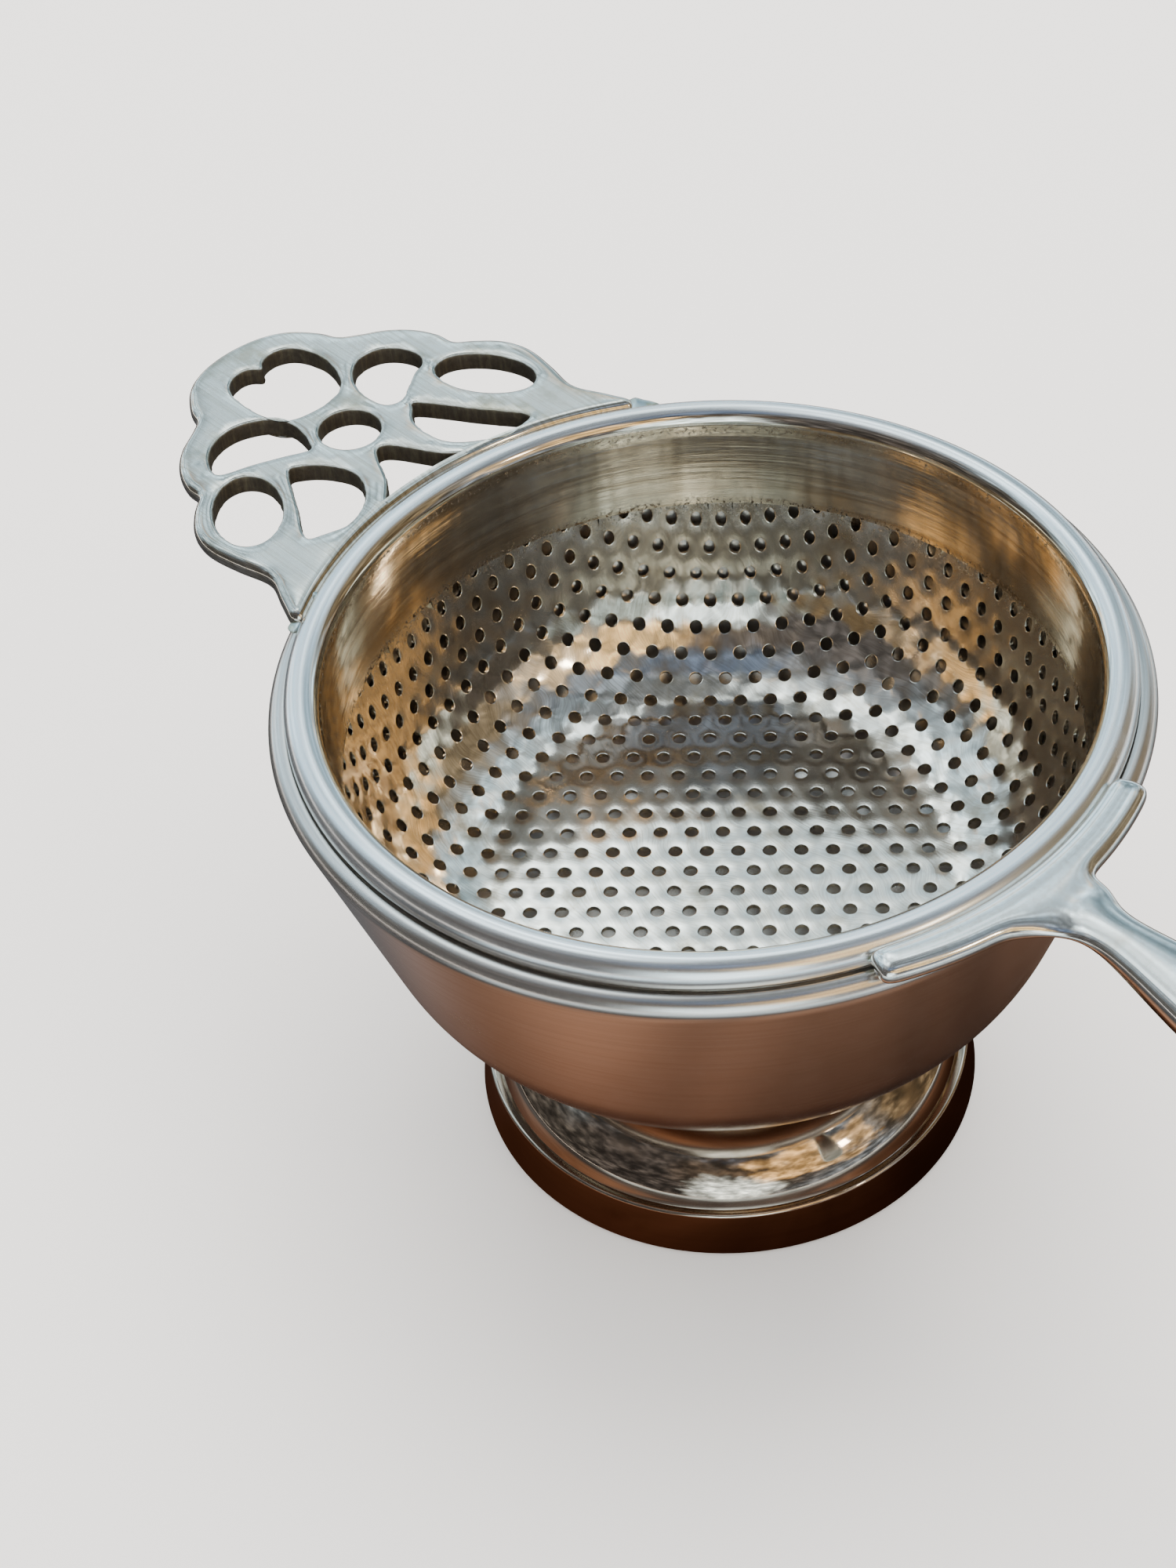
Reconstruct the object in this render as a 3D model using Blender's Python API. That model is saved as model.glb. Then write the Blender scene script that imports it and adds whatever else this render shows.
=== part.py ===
"""Tea strainer with a pierced ear and a forked handle, resting in its footed drip bowl.

Metres, +Z up. The drip bowl's foot stands on z = 0, its axis is the Z axis, and the handle points along +X.
The strainer's rim hangs on the drip bowl's rim and lifts straight off.
"""
import math

import bmesh
import bpy
from mathutils import Vector

MM = 0.001

# Fits between pieces
CLEARANCE = 0.3 * MM            # between any two pieces that touch or are soldered together
SOLDER = 0.5 * MM               # thickness of the solder between a casting and the rim

# Strainer: rim and collar
RIM_RADIUS = 32.0 * MM          # outside of the rolled rim
RIM_ROLL = 1.35 * MM            # radius of the rim's half-round roll
RIM_LIP = 0.35 * MM             # straight drop of the roll's outer edge
COLLAR_WALL = 0.6 * MM
COLLAR_HEIGHT = 7.2 * MM        # from the roll's centre down to the collar's lower edge
COLLAR_TAPER = 0.9 * MM         # how much narrower the collar is at that edge

# Strainer: perforated bowl
BOWL_WALL = 0.6 * MM
BOWL_DEPTH = 14.9 * MM          # collar's lower edge down to the flat bottom
BOWL_CORNER = 10.0 * MM         # inside radius between bottom and wall
BOWL_TILT = math.radians(13.0)  # lean of the wall from upright
BOWL_LAP = 2.4 * MM             # how far the bowl reaches up round the collar

# Stand: drip bowl
STAND_OVERHANG = 1.4 * MM       # how far its rim stands out past the strainer's rim
STAND_ROLL = 1.2 * MM           # radius of its rim's half-round roll
STAND_WALL = 0.6 * MM
STAND_LIP = 0.8 * MM            # straight drop of the rim's inner edge
STAND_CORNER = 15.0 * MM        # outside radius between wall and bottom
NECK_HEIGHT = 15.6 * MM         # underside of the drip bowl
DRIP_SPACE = 6.0 * MM           # free height under the perforated bowl
SIDE_SPACE = 0.5 * MM           # narrowest gap between the two bowls' walls

# Stand: foot
FOOT_RADIUS = 20.9 * MM
FOOT_WALL = 0.7 * MM
FOOT_BAND = 4.2 * MM            # height of the upright band
FOOT_BAND_TAPER = 0.6 * MM
FOOT_STEP = 0.7 * MM            # inward step above the band
FOOT_FLANGE = 2.4 * MM          # width of the flat ring that the foot stands on
NECK_RADIUS = 8.2 * MM
FOOT_CURVE = ((0.0, 0.0), (0.09, 0.17), (0.28, 0.33), (0.53, 0.44), (0.77, 0.57), (0.94, 0.78), (1.0, 1.0))

# Ear casting. Plan positions are (reach beyond the rim, distance from the middle line).
CAST_THICKNESS = 2.0 * MM       # of the ear and the handle
EAR_ROOT = 16.6 * MM            # half width of the ear where it meets the rim
EAR_EDGE = 0.35 * MM            # chamfer of its edges
EAR_MIDDLE = 6.0 * MM           # reach of a point that all lobes surround
EAR_LOBE_START = 5.0 * MM       # reach where the root ends and the lobes begin
EAR_SIDE_LOBES = ((6.4 * MM, 11.8 * MM, 6.1 * MM), (13.8 * MM, 7.0 * MM, 6.7 * MM))   # place, radius
EAR_END_LOBE = (18.9 * MM, 0.0, 7.0 * MM)
EAR_ROOT_OVERLAP = 1.0 * MM     # how far its outline runs under the rim before the rim's circle is cut away

# Ear casting: the nine openings
CENTRE_HOLE = (9.4 * MM, 2.65 * MM)                                     # reach, radius
TREFOIL_ORIGIN = 18.0 * MM
TREFOIL_STEM = (16.4 * MM, 0.0, 3.2 * MM)                               # place, radius
TREFOIL_LEAF = (19.4 * MM, 1.9 * MM, 2.7 * MM)
SLOT_REACH = 5.8 * MM
SLOT_HALF_WIDTH = 4.1 * MM
PETAL = (13.1 * MM, 6.9 * MM, 3.5 * MM)                                 # place, radius of its round part
PETAL_POINT = (9.9 * MM, 5.0 * MM)
PETAL_ARC = (-120.0, 165.0)
OVAL_PLACE = (6.9 * MM, 12.3 * MM)
OVAL_SIZE = (4.0 * MM, 2.9 * MM)                                        # half length, half width
OVAL_TILT = math.radians(-20.0)
HALF_MOON = (3.7 * MM, 8.5 * MM, 4.7 * MM)                              # place, radius
HALF_MOON_ARC = (-210.0, -24.0)

# Handle casting
ARM_SPREAD = math.radians(22.0)
ARM_WIDTH = 2.4 * MM
ARM_GROWTH = 1.1 * MM           # extra width of an arm at the stem
ARM_STEPS = 16
ARM_TIP = 0.55                  # an arm's last section as a share of its full one
HANDLE_REACH = 56.0 * MM        # from the rim to the handle's end
STEM_OVERLAP = 1.2 * MM         # how far beyond the arms' inner face the stem begins
BAR_CHAMFER = 0.3               # of a bar's section, as a share of its thickness
STEM_ROOT = ((0.0, 5.6 * MM, 0.25 * MM, 1.5 * MM), (1.6 * MM, 3.0 * MM, 0.1 * MM, 1.7 * MM),
             (4.0 * MM, 1.75 * MM, -0.2 * MM, 1.8 * MM), (8.0 * MM, 1.9 * MM, -0.9 * MM, 1.7 * MM))
# beyond the root: share of the handle's reach, half width, underside and top above the castings' underside
STEM_STATIONS = ((0.32, 2.9 * MM, -1.7 * MM, 1.6 * MM), (0.50, 4.3 * MM, -1.9 * MM, 1.3 * MM),
                 (0.70, 5.5 * MM, -1.9 * MM, 1.1 * MM), (0.86, 5.6 * MM, -1.7 * MM, 1.1 * MM),
                 (0.95, 4.2 * MM, -1.4 * MM, 0.9 * MM), (0.99, 2.2 * MM, -1.0 * MM, 0.6 * MM),
                 (1.00, 0.9 * MM, -0.6 * MM, 0.3 * MM))

# Solder: where the strips begin and end, and the sections of the two fillets
EAR_SOLDER_START = 10.9 * MM    # from the ear's middle line
EAR_SOLDER_PAST = math.radians(5.0)     # past the ear's root
HANDLE_SOLDER_START = 0.1       # as shares of the arms' spread
HANDLE_SOLDER_END = 1.06
SEAM_FOOT = 1.4                 # width of the seam's fillet at its foot, in solder thicknesses
SEAM_RISE = 2.0                 # its height
SEAM_SAG = 0.4                  # height of its hollow's middle, as a share of its own
FOOT_FILLET = 2.4               # height and width of the neck's fillet
FOOT_FILLET_WAIST = 1.4         # its width one thickness below its top

RING_SEGMENTS = 48
CURVE_STEPS = 2                 # points to each station along a smooth curve
CUT_THROUGH = 1.0 * MM          # how far a cutting shape stands out past what it cuts
MERGE = 0.00001

# Heights and radii that follow from the dimensions above
BOWL_FLAT_Z = NECK_HEIGHT + STAND_WALL + DRIP_SPACE + BOWL_WALL
COLLAR_FOOT_Z = BOWL_FLAT_Z + BOWL_DEPTH
COLLAR_FOOT_RADIUS = RIM_RADIUS - 2 * RIM_ROLL - COLLAR_TAPER
ROLL_Z = COLLAR_FOOT_Z + COLLAR_HEIGHT
LIP_Z = ROLL_Z - RIM_LIP
BOWL_LAP_RADIUS = COLLAR_FOOT_RADIUS + COLLAR_WALL + CLEARANCE
BOWL_CORNER_Z = BOWL_FLAT_Z + BOWL_CORNER * (1 - math.sin(BOWL_TILT))
BOWL_CORNER_RADIUS = BOWL_LAP_RADIUS - (COLLAR_FOOT_Z - BOWL_CORNER_Z) * math.tan(BOWL_TILT)
STAND_RADIUS = RIM_RADIUS + STAND_OVERHANG
STAND_HEIGHT = LIP_Z - CLEARANCE
CAST_INNER = RIM_RADIUS + 2 * CLEARANCE + SOLDER

SHARP_ANGLE = math.radians(35.0)
METALS = {
    "polished": ((0.80, 0.79, 0.76), 0.12),
    "pressed": ((0.70, 0.68, 0.64), 0.25),
    "cast": ((0.66, 0.67, 0.66), 0.32),
    "solder": ((0.50, 0.53, 0.55), 0.42),
}


# ---------------------------------------------------------------- helpers
def clear_scene():
    """Remove every object that the file starts with."""
    for obj in list(bpy.data.objects):
        bpy.data.objects.remove(obj, do_unlink=True)


def metal(name, kind):
    """A material of its own for one sub-part."""
    colour, roughness = METALS[kind]
    material = bpy.data.materials.new(name + "_metal")
    material.use_nodes = True
    shader = material.node_tree.nodes["Principled BSDF"]
    shader.inputs["Base Color"].default_value = (*colour, 1.0)
    shader.inputs["Roughness"].default_value = roughness
    shader.inputs["Metallic"].default_value = 1.0
    return material


def add_object(name, bm, kind=None, parent=None):
    """Turn a bmesh into a named object, with its own material if it's made of metal."""
    bmesh.ops.remove_doubles(bm, verts=bm.verts, dist=MERGE)
    bmesh.ops.recalc_face_normals(bm, faces=bm.faces)
    mesh = bpy.data.meshes.new(name)
    bm.to_mesh(mesh)
    bm.free()
    obj = bpy.data.objects.new(name, mesh)
    bpy.context.collection.objects.link(obj)
    if kind:
        mesh.shade_smooth()
        mesh.set_sharp_from_angle(angle=SHARP_ANGLE)
        mesh.materials.append(metal(name, kind))
    obj.parent = parent
    return obj


def arc(centre, radius, start, end, steps):
    """Points on a circle from one angle to another, in degrees."""
    angles = [math.radians(start + (end - start) * i / steps) for i in range(steps + 1)]
    return [(centre[0] + radius * math.cos(a), centre[1] + radius * math.sin(a)) for a in angles]


def smooth_curve(points, steps):
    """Catmull-Rom curve through a few points."""
    ends = [points[0], *points, points[-1]]
    curve = []
    for i in range(1, len(ends) - 2):
        a, b, c, d = (Vector(ends[i + k]) for k in (-1, 0, 1, 2))
        for s in range(steps):
            t = s / steps
            p = 0.5 * (2 * b + (c - a) * t + (2 * a - 5 * b + 4 * c - d) * t * t
                       + (3 * b - a - 3 * c + d) * t ** 3)
            curve.append(tuple(p))
    return curve + [tuple(points[-1])]


def smooth_stations(stations):
    """Points between the stations, on a smooth curve through them."""
    columns = list(zip(*stations))
    curves = [smooth_curve(list(zip(columns[0], column)), CURVE_STEPS) for column in columns[1:]]
    return [(curves[0][i][0], *(curve[i][1] for curve in curves)) for i in range(len(curves[0]))]


def offset_line(line, distance):
    """The line moved sideways, to its left for a positive distance."""
    moved = []
    for i, point in enumerate(line):
        before = Vector(line[max(i - 1, 0)])
        after = Vector(line[min(i + 1, len(line) - 1)])
        here = Vector(point)
        normals = []
        for step in (here - before, after - here):
            if step.length > 0:
                normals.append(Vector((-step.y, step.x)).normalized())
        normal = sum(normals, Vector((0, 0))).normalized()
        lengthening = 1.0 / max(normal.dot(normals[0]), 0.5)
        moved.append(tuple(here + normal * distance * lengthening))
    return moved


def sheet_profile(line, wall):
    """Closed section of a sheet: the line, and the line moved to its left by the wall."""
    inner = [(max(r, 0.0), z) for r, z in offset_line(line, wall)]
    return line + inner[::-1]


def turned(profile, start=0.0, end=360.0, segments=RING_SEGMENTS):
    """Turn a closed (radius, height) section about Z, all the way round or between two angles."""
    bm = bmesh.new()
    whole = end - start >= 360.0
    count = segments if whole else segments + 1
    rings = []
    for i in range(count):
        a = math.radians(start + (end - start) * i / segments)
        rings.append([bm.verts.new((r * math.cos(a), r * math.sin(a), z)) for r, z in profile])
    size = len(profile)
    for i in range(segments):
        here, there = rings[i], rings[(i + 1) % count]
        for k in range(size):
            n = (k + 1) % size
            if profile[k][0] < MERGE and profile[n][0] < MERGE:
                continue
            bm.faces.new((here[k], here[n], there[n], there[k]))
    if not whole:
        bm.faces.new(rings[0])
        bm.faces.new(rings[-1])
    bmesh.ops.remove_doubles(bm, verts=bm.verts, dist=MERGE)
    bmesh.ops.dissolve_degenerate(bm, edges=bm.edges, dist=MERGE)
    return bm


def loft(rings):
    """Skin a row of closed rings that have the same number of points, and cap both ends."""
    bm = bmesh.new()
    skin = [[bm.verts.new(point) for point in ring] for ring in rings]
    size = len(rings[0])
    for here, there in zip(skin, skin[1:]):
        for k in range(size):
            bm.faces.new((here[k], here[(k + 1) % size], there[(k + 1) % size], there[k]))
    bm.faces.new(skin[0])
    bm.faces.new(skin[-1])
    bmesh.ops.recalc_face_normals(bm, faces=bm.faces)
    return bm


def prism(outline, bottom, top, inset=0.0):
    """Upright block with a given plan outline. An inset chamfers its top and bottom edges."""
    levels = [(bottom, inset), (bottom + inset, 0.0), (top - inset, 0.0), (top, inset)]
    if inset == 0.0:
        levels = [(bottom, 0.0), (top, 0.0)]
    closed = [outline[-1], *outline, outline[0]]
    rings = []
    for z, pull in levels:
        ring = offset_line(closed, pull)[1:-1]
        rings.append([(x, y, z) for x, y in ring])
    return loft(rings)


def ray_reach(centre, radius, angle):
    """How far a ray from the origin at this angle runs until it leaves the circle, or 0."""
    direction = Vector((math.cos(angle), math.sin(angle)))
    along = direction.dot(Vector(centre))
    miss = Vector(centre).length_squared - along * along
    if miss > radius * radius:
        return 0.0
    return max(along + math.sqrt(radius * radius - miss), 0.0)


def union_outline(origin, discs, steps):
    """Outline round overlapping discs, seen from a point among them."""
    outline = []
    for i in range(steps):
        angle = 2 * math.pi * i / steps
        reach = max(ray_reach((x - origin[0], y - origin[1]), r, angle) for x, y, r in discs)
        if reach > 0:
            outline.append((origin[0] + reach * math.cos(angle), origin[1] + reach * math.sin(angle)))
    return outline


def cutter(name, bm, parent):
    """An object that only shapes another one."""
    obj = add_object(name, bm, parent=parent)
    obj.hide_render = True
    obj.display_type = "WIRE"
    return obj


def combine(obj, other, operation):
    """Add an exact Boolean with the other object."""
    modifier = obj.modifiers.new(operation.title(), "BOOLEAN")
    modifier.operation = operation
    modifier.solver = "EXACT"
    modifier.object = other


# ---------------------------------------------------------------- strainer
def collar_line():
    """Inner face of the collar from its lower edge up, and over the rim's roll to the lip."""
    centre = (RIM_RADIUS - RIM_ROLL, ROLL_Z)
    return [(COLLAR_FOOT_RADIUS, COLLAR_FOOT_Z), *arc(centre, RIM_ROLL, 180, 0, 8), (RIM_RADIUS, LIP_Z)]


def collar_outer_radius(z):
    """Outside radius of the collar's tapering wall at a height."""
    share = (z - COLLAR_FOOT_Z) / COLLAR_HEIGHT
    return COLLAR_FOOT_RADIUS + COLLAR_TAPER * share + COLLAR_WALL


def make_collar(parent):
    """Plain band with the rolled rim."""
    profile = sheet_profile(collar_line(), -COLLAR_WALL)
    add_object("strainer_collar", turned(profile), "polished", parent)


def make_perforated_bowl(parent):
    """Flat-bottomed bowl whose wall laps round the outside of the collar."""
    centre = (BOWL_CORNER_RADIUS - BOWL_CORNER * math.cos(BOWL_TILT), BOWL_FLAT_Z + BOWL_CORNER)
    corner = arc(centre, BOWL_CORNER, -90, -math.degrees(BOWL_TILT), 7)
    top = (BOWL_LAP_RADIUS + BOWL_LAP * math.tan(BOWL_TILT), COLLAR_FOOT_Z + BOWL_LAP)
    line = [(0.0, BOWL_FLAT_Z), *corner, top]
    add_object("perforated_bowl", turned(sheet_profile(line, -BOWL_WALL)), "pressed", parent)


def make_seam_solder(parent):
    """Fillet of solder on the outside, where the bowl's edge meets the collar."""
    base = COLLAR_FOOT_Z + BOWL_LAP + CLEARANCE
    rise = SEAM_RISE * SOLDER
    inner = collar_outer_radius(base + rise) + CLEARANCE
    foot = SEAM_FOOT * SOLDER
    profile = [(inner, base), (inner + foot, base), (inner + foot / 2, base + SEAM_SAG * rise),
               (inner, base + rise)]
    add_object("bowl_seam_solder", turned(profile), "solder", parent)


def beyond_rim(place):
    """A plan position beyond the rim, with whatever follows it, measured from the axis."""
    return (RIM_RADIUS + place[0], *place[1:])


def mirrored(place):
    """The same place on the other side of the middle line."""
    return (place[0], -place[1], *place[2:])


def ear_openings():
    """Plan outlines of the nine openings."""
    hole_reach, hole_radius = beyond_rim(CENTRE_HOLE)
    leaf = beyond_rim(TREFOIL_LEAF)
    trefoil = [beyond_rim(TREFOIL_STEM), leaf, mirrored(leaf)]
    outlines = [
        arc((hole_reach, 0.0), hole_radius, 0, 345, 15),
        union_outline(beyond_rim((TREFOIL_ORIGIN, 0.0)), trefoil, 24),
        [(RIM_RADIUS - CUT_THROUGH, -SLOT_HALF_WIDTH), beyond_rim((SLOT_REACH, 0.0)),
         (RIM_RADIUS - CUT_THROUGH, SLOT_HALF_WIDTH)],
    ]
    x, y, radius = beyond_rim(PETAL)
    petal = [*arc((x, y), radius, *PETAL_ARC, 15), beyond_rim(PETAL_POINT)]
    x, y = beyond_rim(OVAL_PLACE)
    oval = []
    for u, v in arc((0.0, 0.0), 1.0, 0, 345, 15):
        u, v = OVAL_SIZE[0] * u, OVAL_SIZE[1] * v
        oval.append((x + u * math.cos(OVAL_TILT) - v * math.sin(OVAL_TILT),
                     y + u * math.sin(OVAL_TILT) + v * math.cos(OVAL_TILT)))
    x, y, radius = beyond_rim(HALF_MOON)
    half_moon = arc((x, y), radius, *HALF_MOON_ARC, 12)
    for shape in (petal, oval, half_moon):
        outlines += [shape, [mirrored(p) for p in shape][::-1]]
    return outlines


def ear_outline():
    """Scalloped plan outline, with a straight root that runs under the rim."""
    side = [beyond_rim(lobe) for lobe in EAR_SIDE_LOBES]
    lobes = [*side, *(mirrored(lobe) for lobe in side), beyond_rim(EAR_END_LOBE)]
    origin = beyond_rim((EAR_MIDDLE, 0.0))
    scallops = [(x, y) for x, y in union_outline(origin, lobes, 96) if x > RIM_RADIUS + EAR_LOBE_START]
    scallops.sort(key=lambda p: math.atan2(p[1], p[0] - origin[0]))
    root_x = math.sqrt(CAST_INNER ** 2 - EAR_ROOT ** 2) - EAR_ROOT_OVERLAP
    return [(root_x, -EAR_ROOT), *scallops, (root_x, EAR_ROOT)]


def make_ear(parent):
    """Flat pierced casting at -X."""
    low, high = LIP_Z, LIP_Z + CAST_THICKNESS
    ear = add_object("pierced_ear", prism(ear_outline(), low, high, EAR_EDGE), "cast", parent)
    cuts = [prism(outline, low - CUT_THROUGH, high + CUT_THROUGH) for outline in ear_openings()]
    rim = [(x, y) for x, y in arc((0.0, 0.0), CAST_INNER, -60, 60, 40)] + [(0.0, 0.0)]
    cuts.append(prism(rim, low - CUT_THROUGH, high + CUT_THROUGH))
    for i, shape in enumerate(cuts):
        combine(ear, cutter(f"ear_cut_{i}", shape, ear), "DIFFERENCE")
    ear.rotation_euler.z = math.pi


def make_rim_solder(names, parent, middle, start, end):
    """Solder strips between the rim and a casting, on both sides of its middle.

    The angles are in degrees: the casting's middle, and where the strips start and end on either side of it.
    """
    inner = RIM_RADIUS + CLEARANCE
    low, high = LIP_Z + CLEARANCE / 2, LIP_Z + CAST_THICKNESS - CLEARANCE / 2
    profile = [(inner, low), (inner + SOLDER, low), (inner + SOLDER, high), (inner, high)]
    for side, name in zip((1, -1), names):
        a, b = sorted((middle + side * start, middle + side * end))
        add_object(name, turned(profile, a, b, 6), "solder", parent)


def make_ear_solder(parent):
    """Solder strips between the rim and the ear's two roots."""
    start = math.asin(EAR_SOLDER_START / RIM_RADIUS)
    end = math.asin(EAR_ROOT / RIM_RADIUS) + EAR_SOLDER_PAST
    make_rim_solder(("ear_solder_left", "ear_solder_right"), parent, 180.0, math.degrees(start),
                    math.degrees(end))


# ---------------------------------------------------------------- handle
def rounded_section(half_width, low, high):
    """Eight-sided section of a cast bar: offsets across it, and heights."""
    cut = BAR_CHAMFER * (high - low)
    w = half_width
    return [(-w, low + cut), (-w + cut, low), (w - cut, low), (w, low + cut),
            (w, high - cut), (w - cut, high), (-w + cut, high), (-w, high - cut)]


def arm_sections():
    """Sections of the bar that forms both arms, from one tip to the other."""
    middle = LIP_Z + CAST_THICKNESS / 2
    sections = []
    for i in range(ARM_STEPS + 1):
        share = -1 + 2 * i / ARM_STEPS
        angle = share * ARM_SPREAD
        half = (ARM_WIDTH + ARM_GROWTH * (1 - abs(share))) / 2
        size = ARM_TIP if abs(share) == 1 else 1.0
        half_height = size * CAST_THICKNESS / 2
        centre = CAST_INNER + half
        sections.append([((centre + u) * math.cos(angle), (centre + u) * math.sin(angle), z) for u, z in
                         rounded_section(size * half, middle - half_height, middle + half_height)])
    return sections


def stem_sections():
    """Sections of the stem from the arms out to the handle's end."""
    start = CAST_INNER + STEM_OVERLAP - RIM_RADIUS
    stations = [(start + reach, *rest) for reach, *rest in STEM_ROOT]
    stations += [(share * HANDLE_REACH, *rest) for share, *rest in STEM_STATIONS]
    return [[(RIM_RADIUS + reach, u, z) for u, z in rounded_section(half, LIP_Z + under, LIP_Z + top)]
            for reach, half, under, top in smooth_stations(stations)]


def make_handle(parent):
    """Casting at +X: two arms round the rim, a narrow neck and a widening stem."""
    handle = add_object("handle", loft(arm_sections()), "cast", parent)
    combine(handle, cutter("stem", loft(stem_sections()), handle), "UNION")


def make_handle_solder(parent):
    """Solder strips between the rim and the fork's two arms."""
    spread = math.degrees(ARM_SPREAD)
    make_rim_solder(("handle_solder_left", "handle_solder_right"), parent, 0.0, HANDLE_SOLDER_START * spread,
                    HANDLE_SOLDER_END * spread)


# ---------------------------------------------------------------- stand
def make_drip_bowl(parent):
    """Deep bowl whose rim is rolled inwards, for the strainer's rim to rest on."""
    roll_centre = (STAND_RADIUS - STAND_ROLL, STAND_HEIGHT - STAND_ROLL)
    beside_bowl = BOWL_CORNER_RADIUS + BOWL_WALL + SIDE_SPACE + STAND_WALL
    rise = roll_centre[1] - BOWL_CORNER_Z
    tilt = math.atan2(STAND_RADIUS - beside_bowl, rise)
    corner_z = NECK_HEIGHT + STAND_CORNER
    wall_foot = STAND_RADIUS - (roll_centre[1] - corner_z + STAND_CORNER * math.sin(tilt)) * math.tan(tilt)
    corner_r = wall_foot - STAND_CORNER * math.cos(tilt)
    corner = arc((corner_r, corner_z), STAND_CORNER, -90, -math.degrees(tilt), 8)
    roll = arc(roll_centre, STAND_ROLL, 0, 180, 8)
    line = [(0.0, NECK_HEIGHT), *corner, *roll, (roll[-1][0], roll[-1][1] - STAND_LIP)]
    add_object("drip_bowl", turned(sheet_profile(line, STAND_WALL)), "polished", parent)


def foot_line():
    """Outside of the foot from the inner edge of its flange, out, up and in to the neck."""
    band_top = FOOT_RADIUS - FOOT_BAND_TAPER
    shoulder = band_top - FOOT_STEP
    neck_top = NECK_HEIGHT - CLEARANCE
    curve = [(shoulder - (shoulder - NECK_RADIUS) * across, FOOT_BAND + (neck_top - FOOT_BAND) * up)
             for across, up in FOOT_CURVE]
    return [(FOOT_RADIUS - FOOT_FLANGE, 0.0), (FOOT_RADIUS, 0.0), (band_top, FOOT_BAND),
            *smooth_curve(curve, 2)]


def make_foot(parent):
    """Hollow foot: flat ring below, upright band, bell-shaped top and neck."""
    add_object("stand_foot", turned(sheet_profile(foot_line(), FOOT_WALL)), "polished", parent)


def make_foot_solder(parent):
    """Fillet of solder between the neck and the drip bowl's underside."""
    inner = NECK_RADIUS + CLEARANCE
    top = NECK_HEIGHT - CLEARANCE
    size = FOOT_FILLET * SOLDER
    waist = FOOT_FILLET_WAIST * SOLDER
    profile = [(inner + SOLDER, top - size), (inner + waist, top - SOLDER), (inner + size, top), (inner, top),
               (inner, top - SOLDER)]
    add_object("foot_solder", turned(profile), "solder", parent)


def build():
    """Make both assemblies."""
    clear_scene()
    strainer = bpy.data.objects.new("strainer", None)
    stand = bpy.data.objects.new("stand", None)
    for empty in (strainer, stand):
        bpy.context.collection.objects.link(empty)
    for make in (make_collar, make_perforated_bowl, make_seam_solder, make_ear, make_ear_solder,
                 make_handle, make_handle_solder):
        make(strainer)
    for make in (make_drip_bowl, make_foot, make_foot_solder):
        make(stand)


build()
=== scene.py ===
"""Looks of the tea strainer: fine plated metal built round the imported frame.

Metres, +Z up. The handle points along +X and the ear along -X, and the foot stands on z = 0. Each
sub-assembly is a class that holds its sizes, builds its smooth mesh and dresses it. The sizes that tie it to
its neighbours come from the frame.
"""

import logging
import math
from dataclasses import dataclass, field
from enum import Enum
from typing import Any, Callable, Sequence

import bmesh
import bpy
from mathutils import Matrix, Vector, noise
from mathutils.geometry import delaunay_2d_cdt


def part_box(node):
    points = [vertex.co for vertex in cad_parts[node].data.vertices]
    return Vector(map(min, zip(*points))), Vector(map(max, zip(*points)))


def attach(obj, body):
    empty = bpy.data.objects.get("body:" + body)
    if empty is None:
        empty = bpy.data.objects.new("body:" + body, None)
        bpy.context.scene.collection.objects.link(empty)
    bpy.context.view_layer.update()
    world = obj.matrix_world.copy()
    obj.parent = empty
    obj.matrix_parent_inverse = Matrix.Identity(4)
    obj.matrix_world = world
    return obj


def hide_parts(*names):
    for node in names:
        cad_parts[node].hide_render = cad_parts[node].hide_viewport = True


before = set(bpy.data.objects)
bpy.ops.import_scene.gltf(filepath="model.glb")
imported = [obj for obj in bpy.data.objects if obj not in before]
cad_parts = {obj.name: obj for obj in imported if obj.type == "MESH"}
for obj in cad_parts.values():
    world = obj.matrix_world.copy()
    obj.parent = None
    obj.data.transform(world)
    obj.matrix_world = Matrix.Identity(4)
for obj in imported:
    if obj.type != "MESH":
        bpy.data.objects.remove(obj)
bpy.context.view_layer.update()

LOG = logging.getLogger("tea_strainer")
MM = 0.001
MERGE = 0.02 * MM                   # points nearer than this are one
TINY = 1e-7                         # keeps a division off zero
CORNER_ANGLE = 40.0                 # degrees past which an edge stays sharp
TURNED_FACETS = 256

Colour = tuple[float, float, float]
Point2 = tuple[float, float]


# ---------------------------------------------------------------- node graphs
class Wire:
    """An output socket that takes part in Python arithmetic: each operator adds a Math node."""

    def __init__(self, graph: "Graph", socket: bpy.types.NodeSocket) -> None:
        """Wrap one output socket of a graph."""
        self.graph = graph
        self.socket = socket

    def math(self, operation: str, *others: "Wire | float") -> "Wire":
        """Add a Math node with this wire as its first input.

        Args:
            operation: The node's operation.
            others: Its further inputs.

        Returns:
            The node's result.
        """
        return self.graph.add("ShaderNodeMath", {"operation": operation}, dict(enumerate((self, *others))))

    def _reflected(self, operation: str, first: float) -> "Wire":
        """Add a Math node with this wire as its second input."""
        return self.graph.add("ShaderNodeMath", {"operation": operation}, {0: first, 1: self})

    def __add__(self, other: "Wire | float") -> "Wire":
        """Sum."""
        return self.math("ADD", other)

    def __sub__(self, other: "Wire | float") -> "Wire":
        """Difference."""
        return self.math("SUBTRACT", other)

    def __mul__(self, other: "Wire | float") -> "Wire":
        """Product."""
        return self.math("MULTIPLY", other)

    def __truediv__(self, other: "Wire | float") -> "Wire":
        """Quotient."""
        return self.math("DIVIDE", other)

    def __rsub__(self, first: float) -> "Wire":
        """A number minus this wire."""
        return self._reflected("SUBTRACT", first)

    def __rtruediv__(self, first: float) -> "Wire":
        """A number divided by this wire."""
        return self._reflected("DIVIDE", first)

    __radd__ = __add__
    __rmul__ = __mul__


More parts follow.
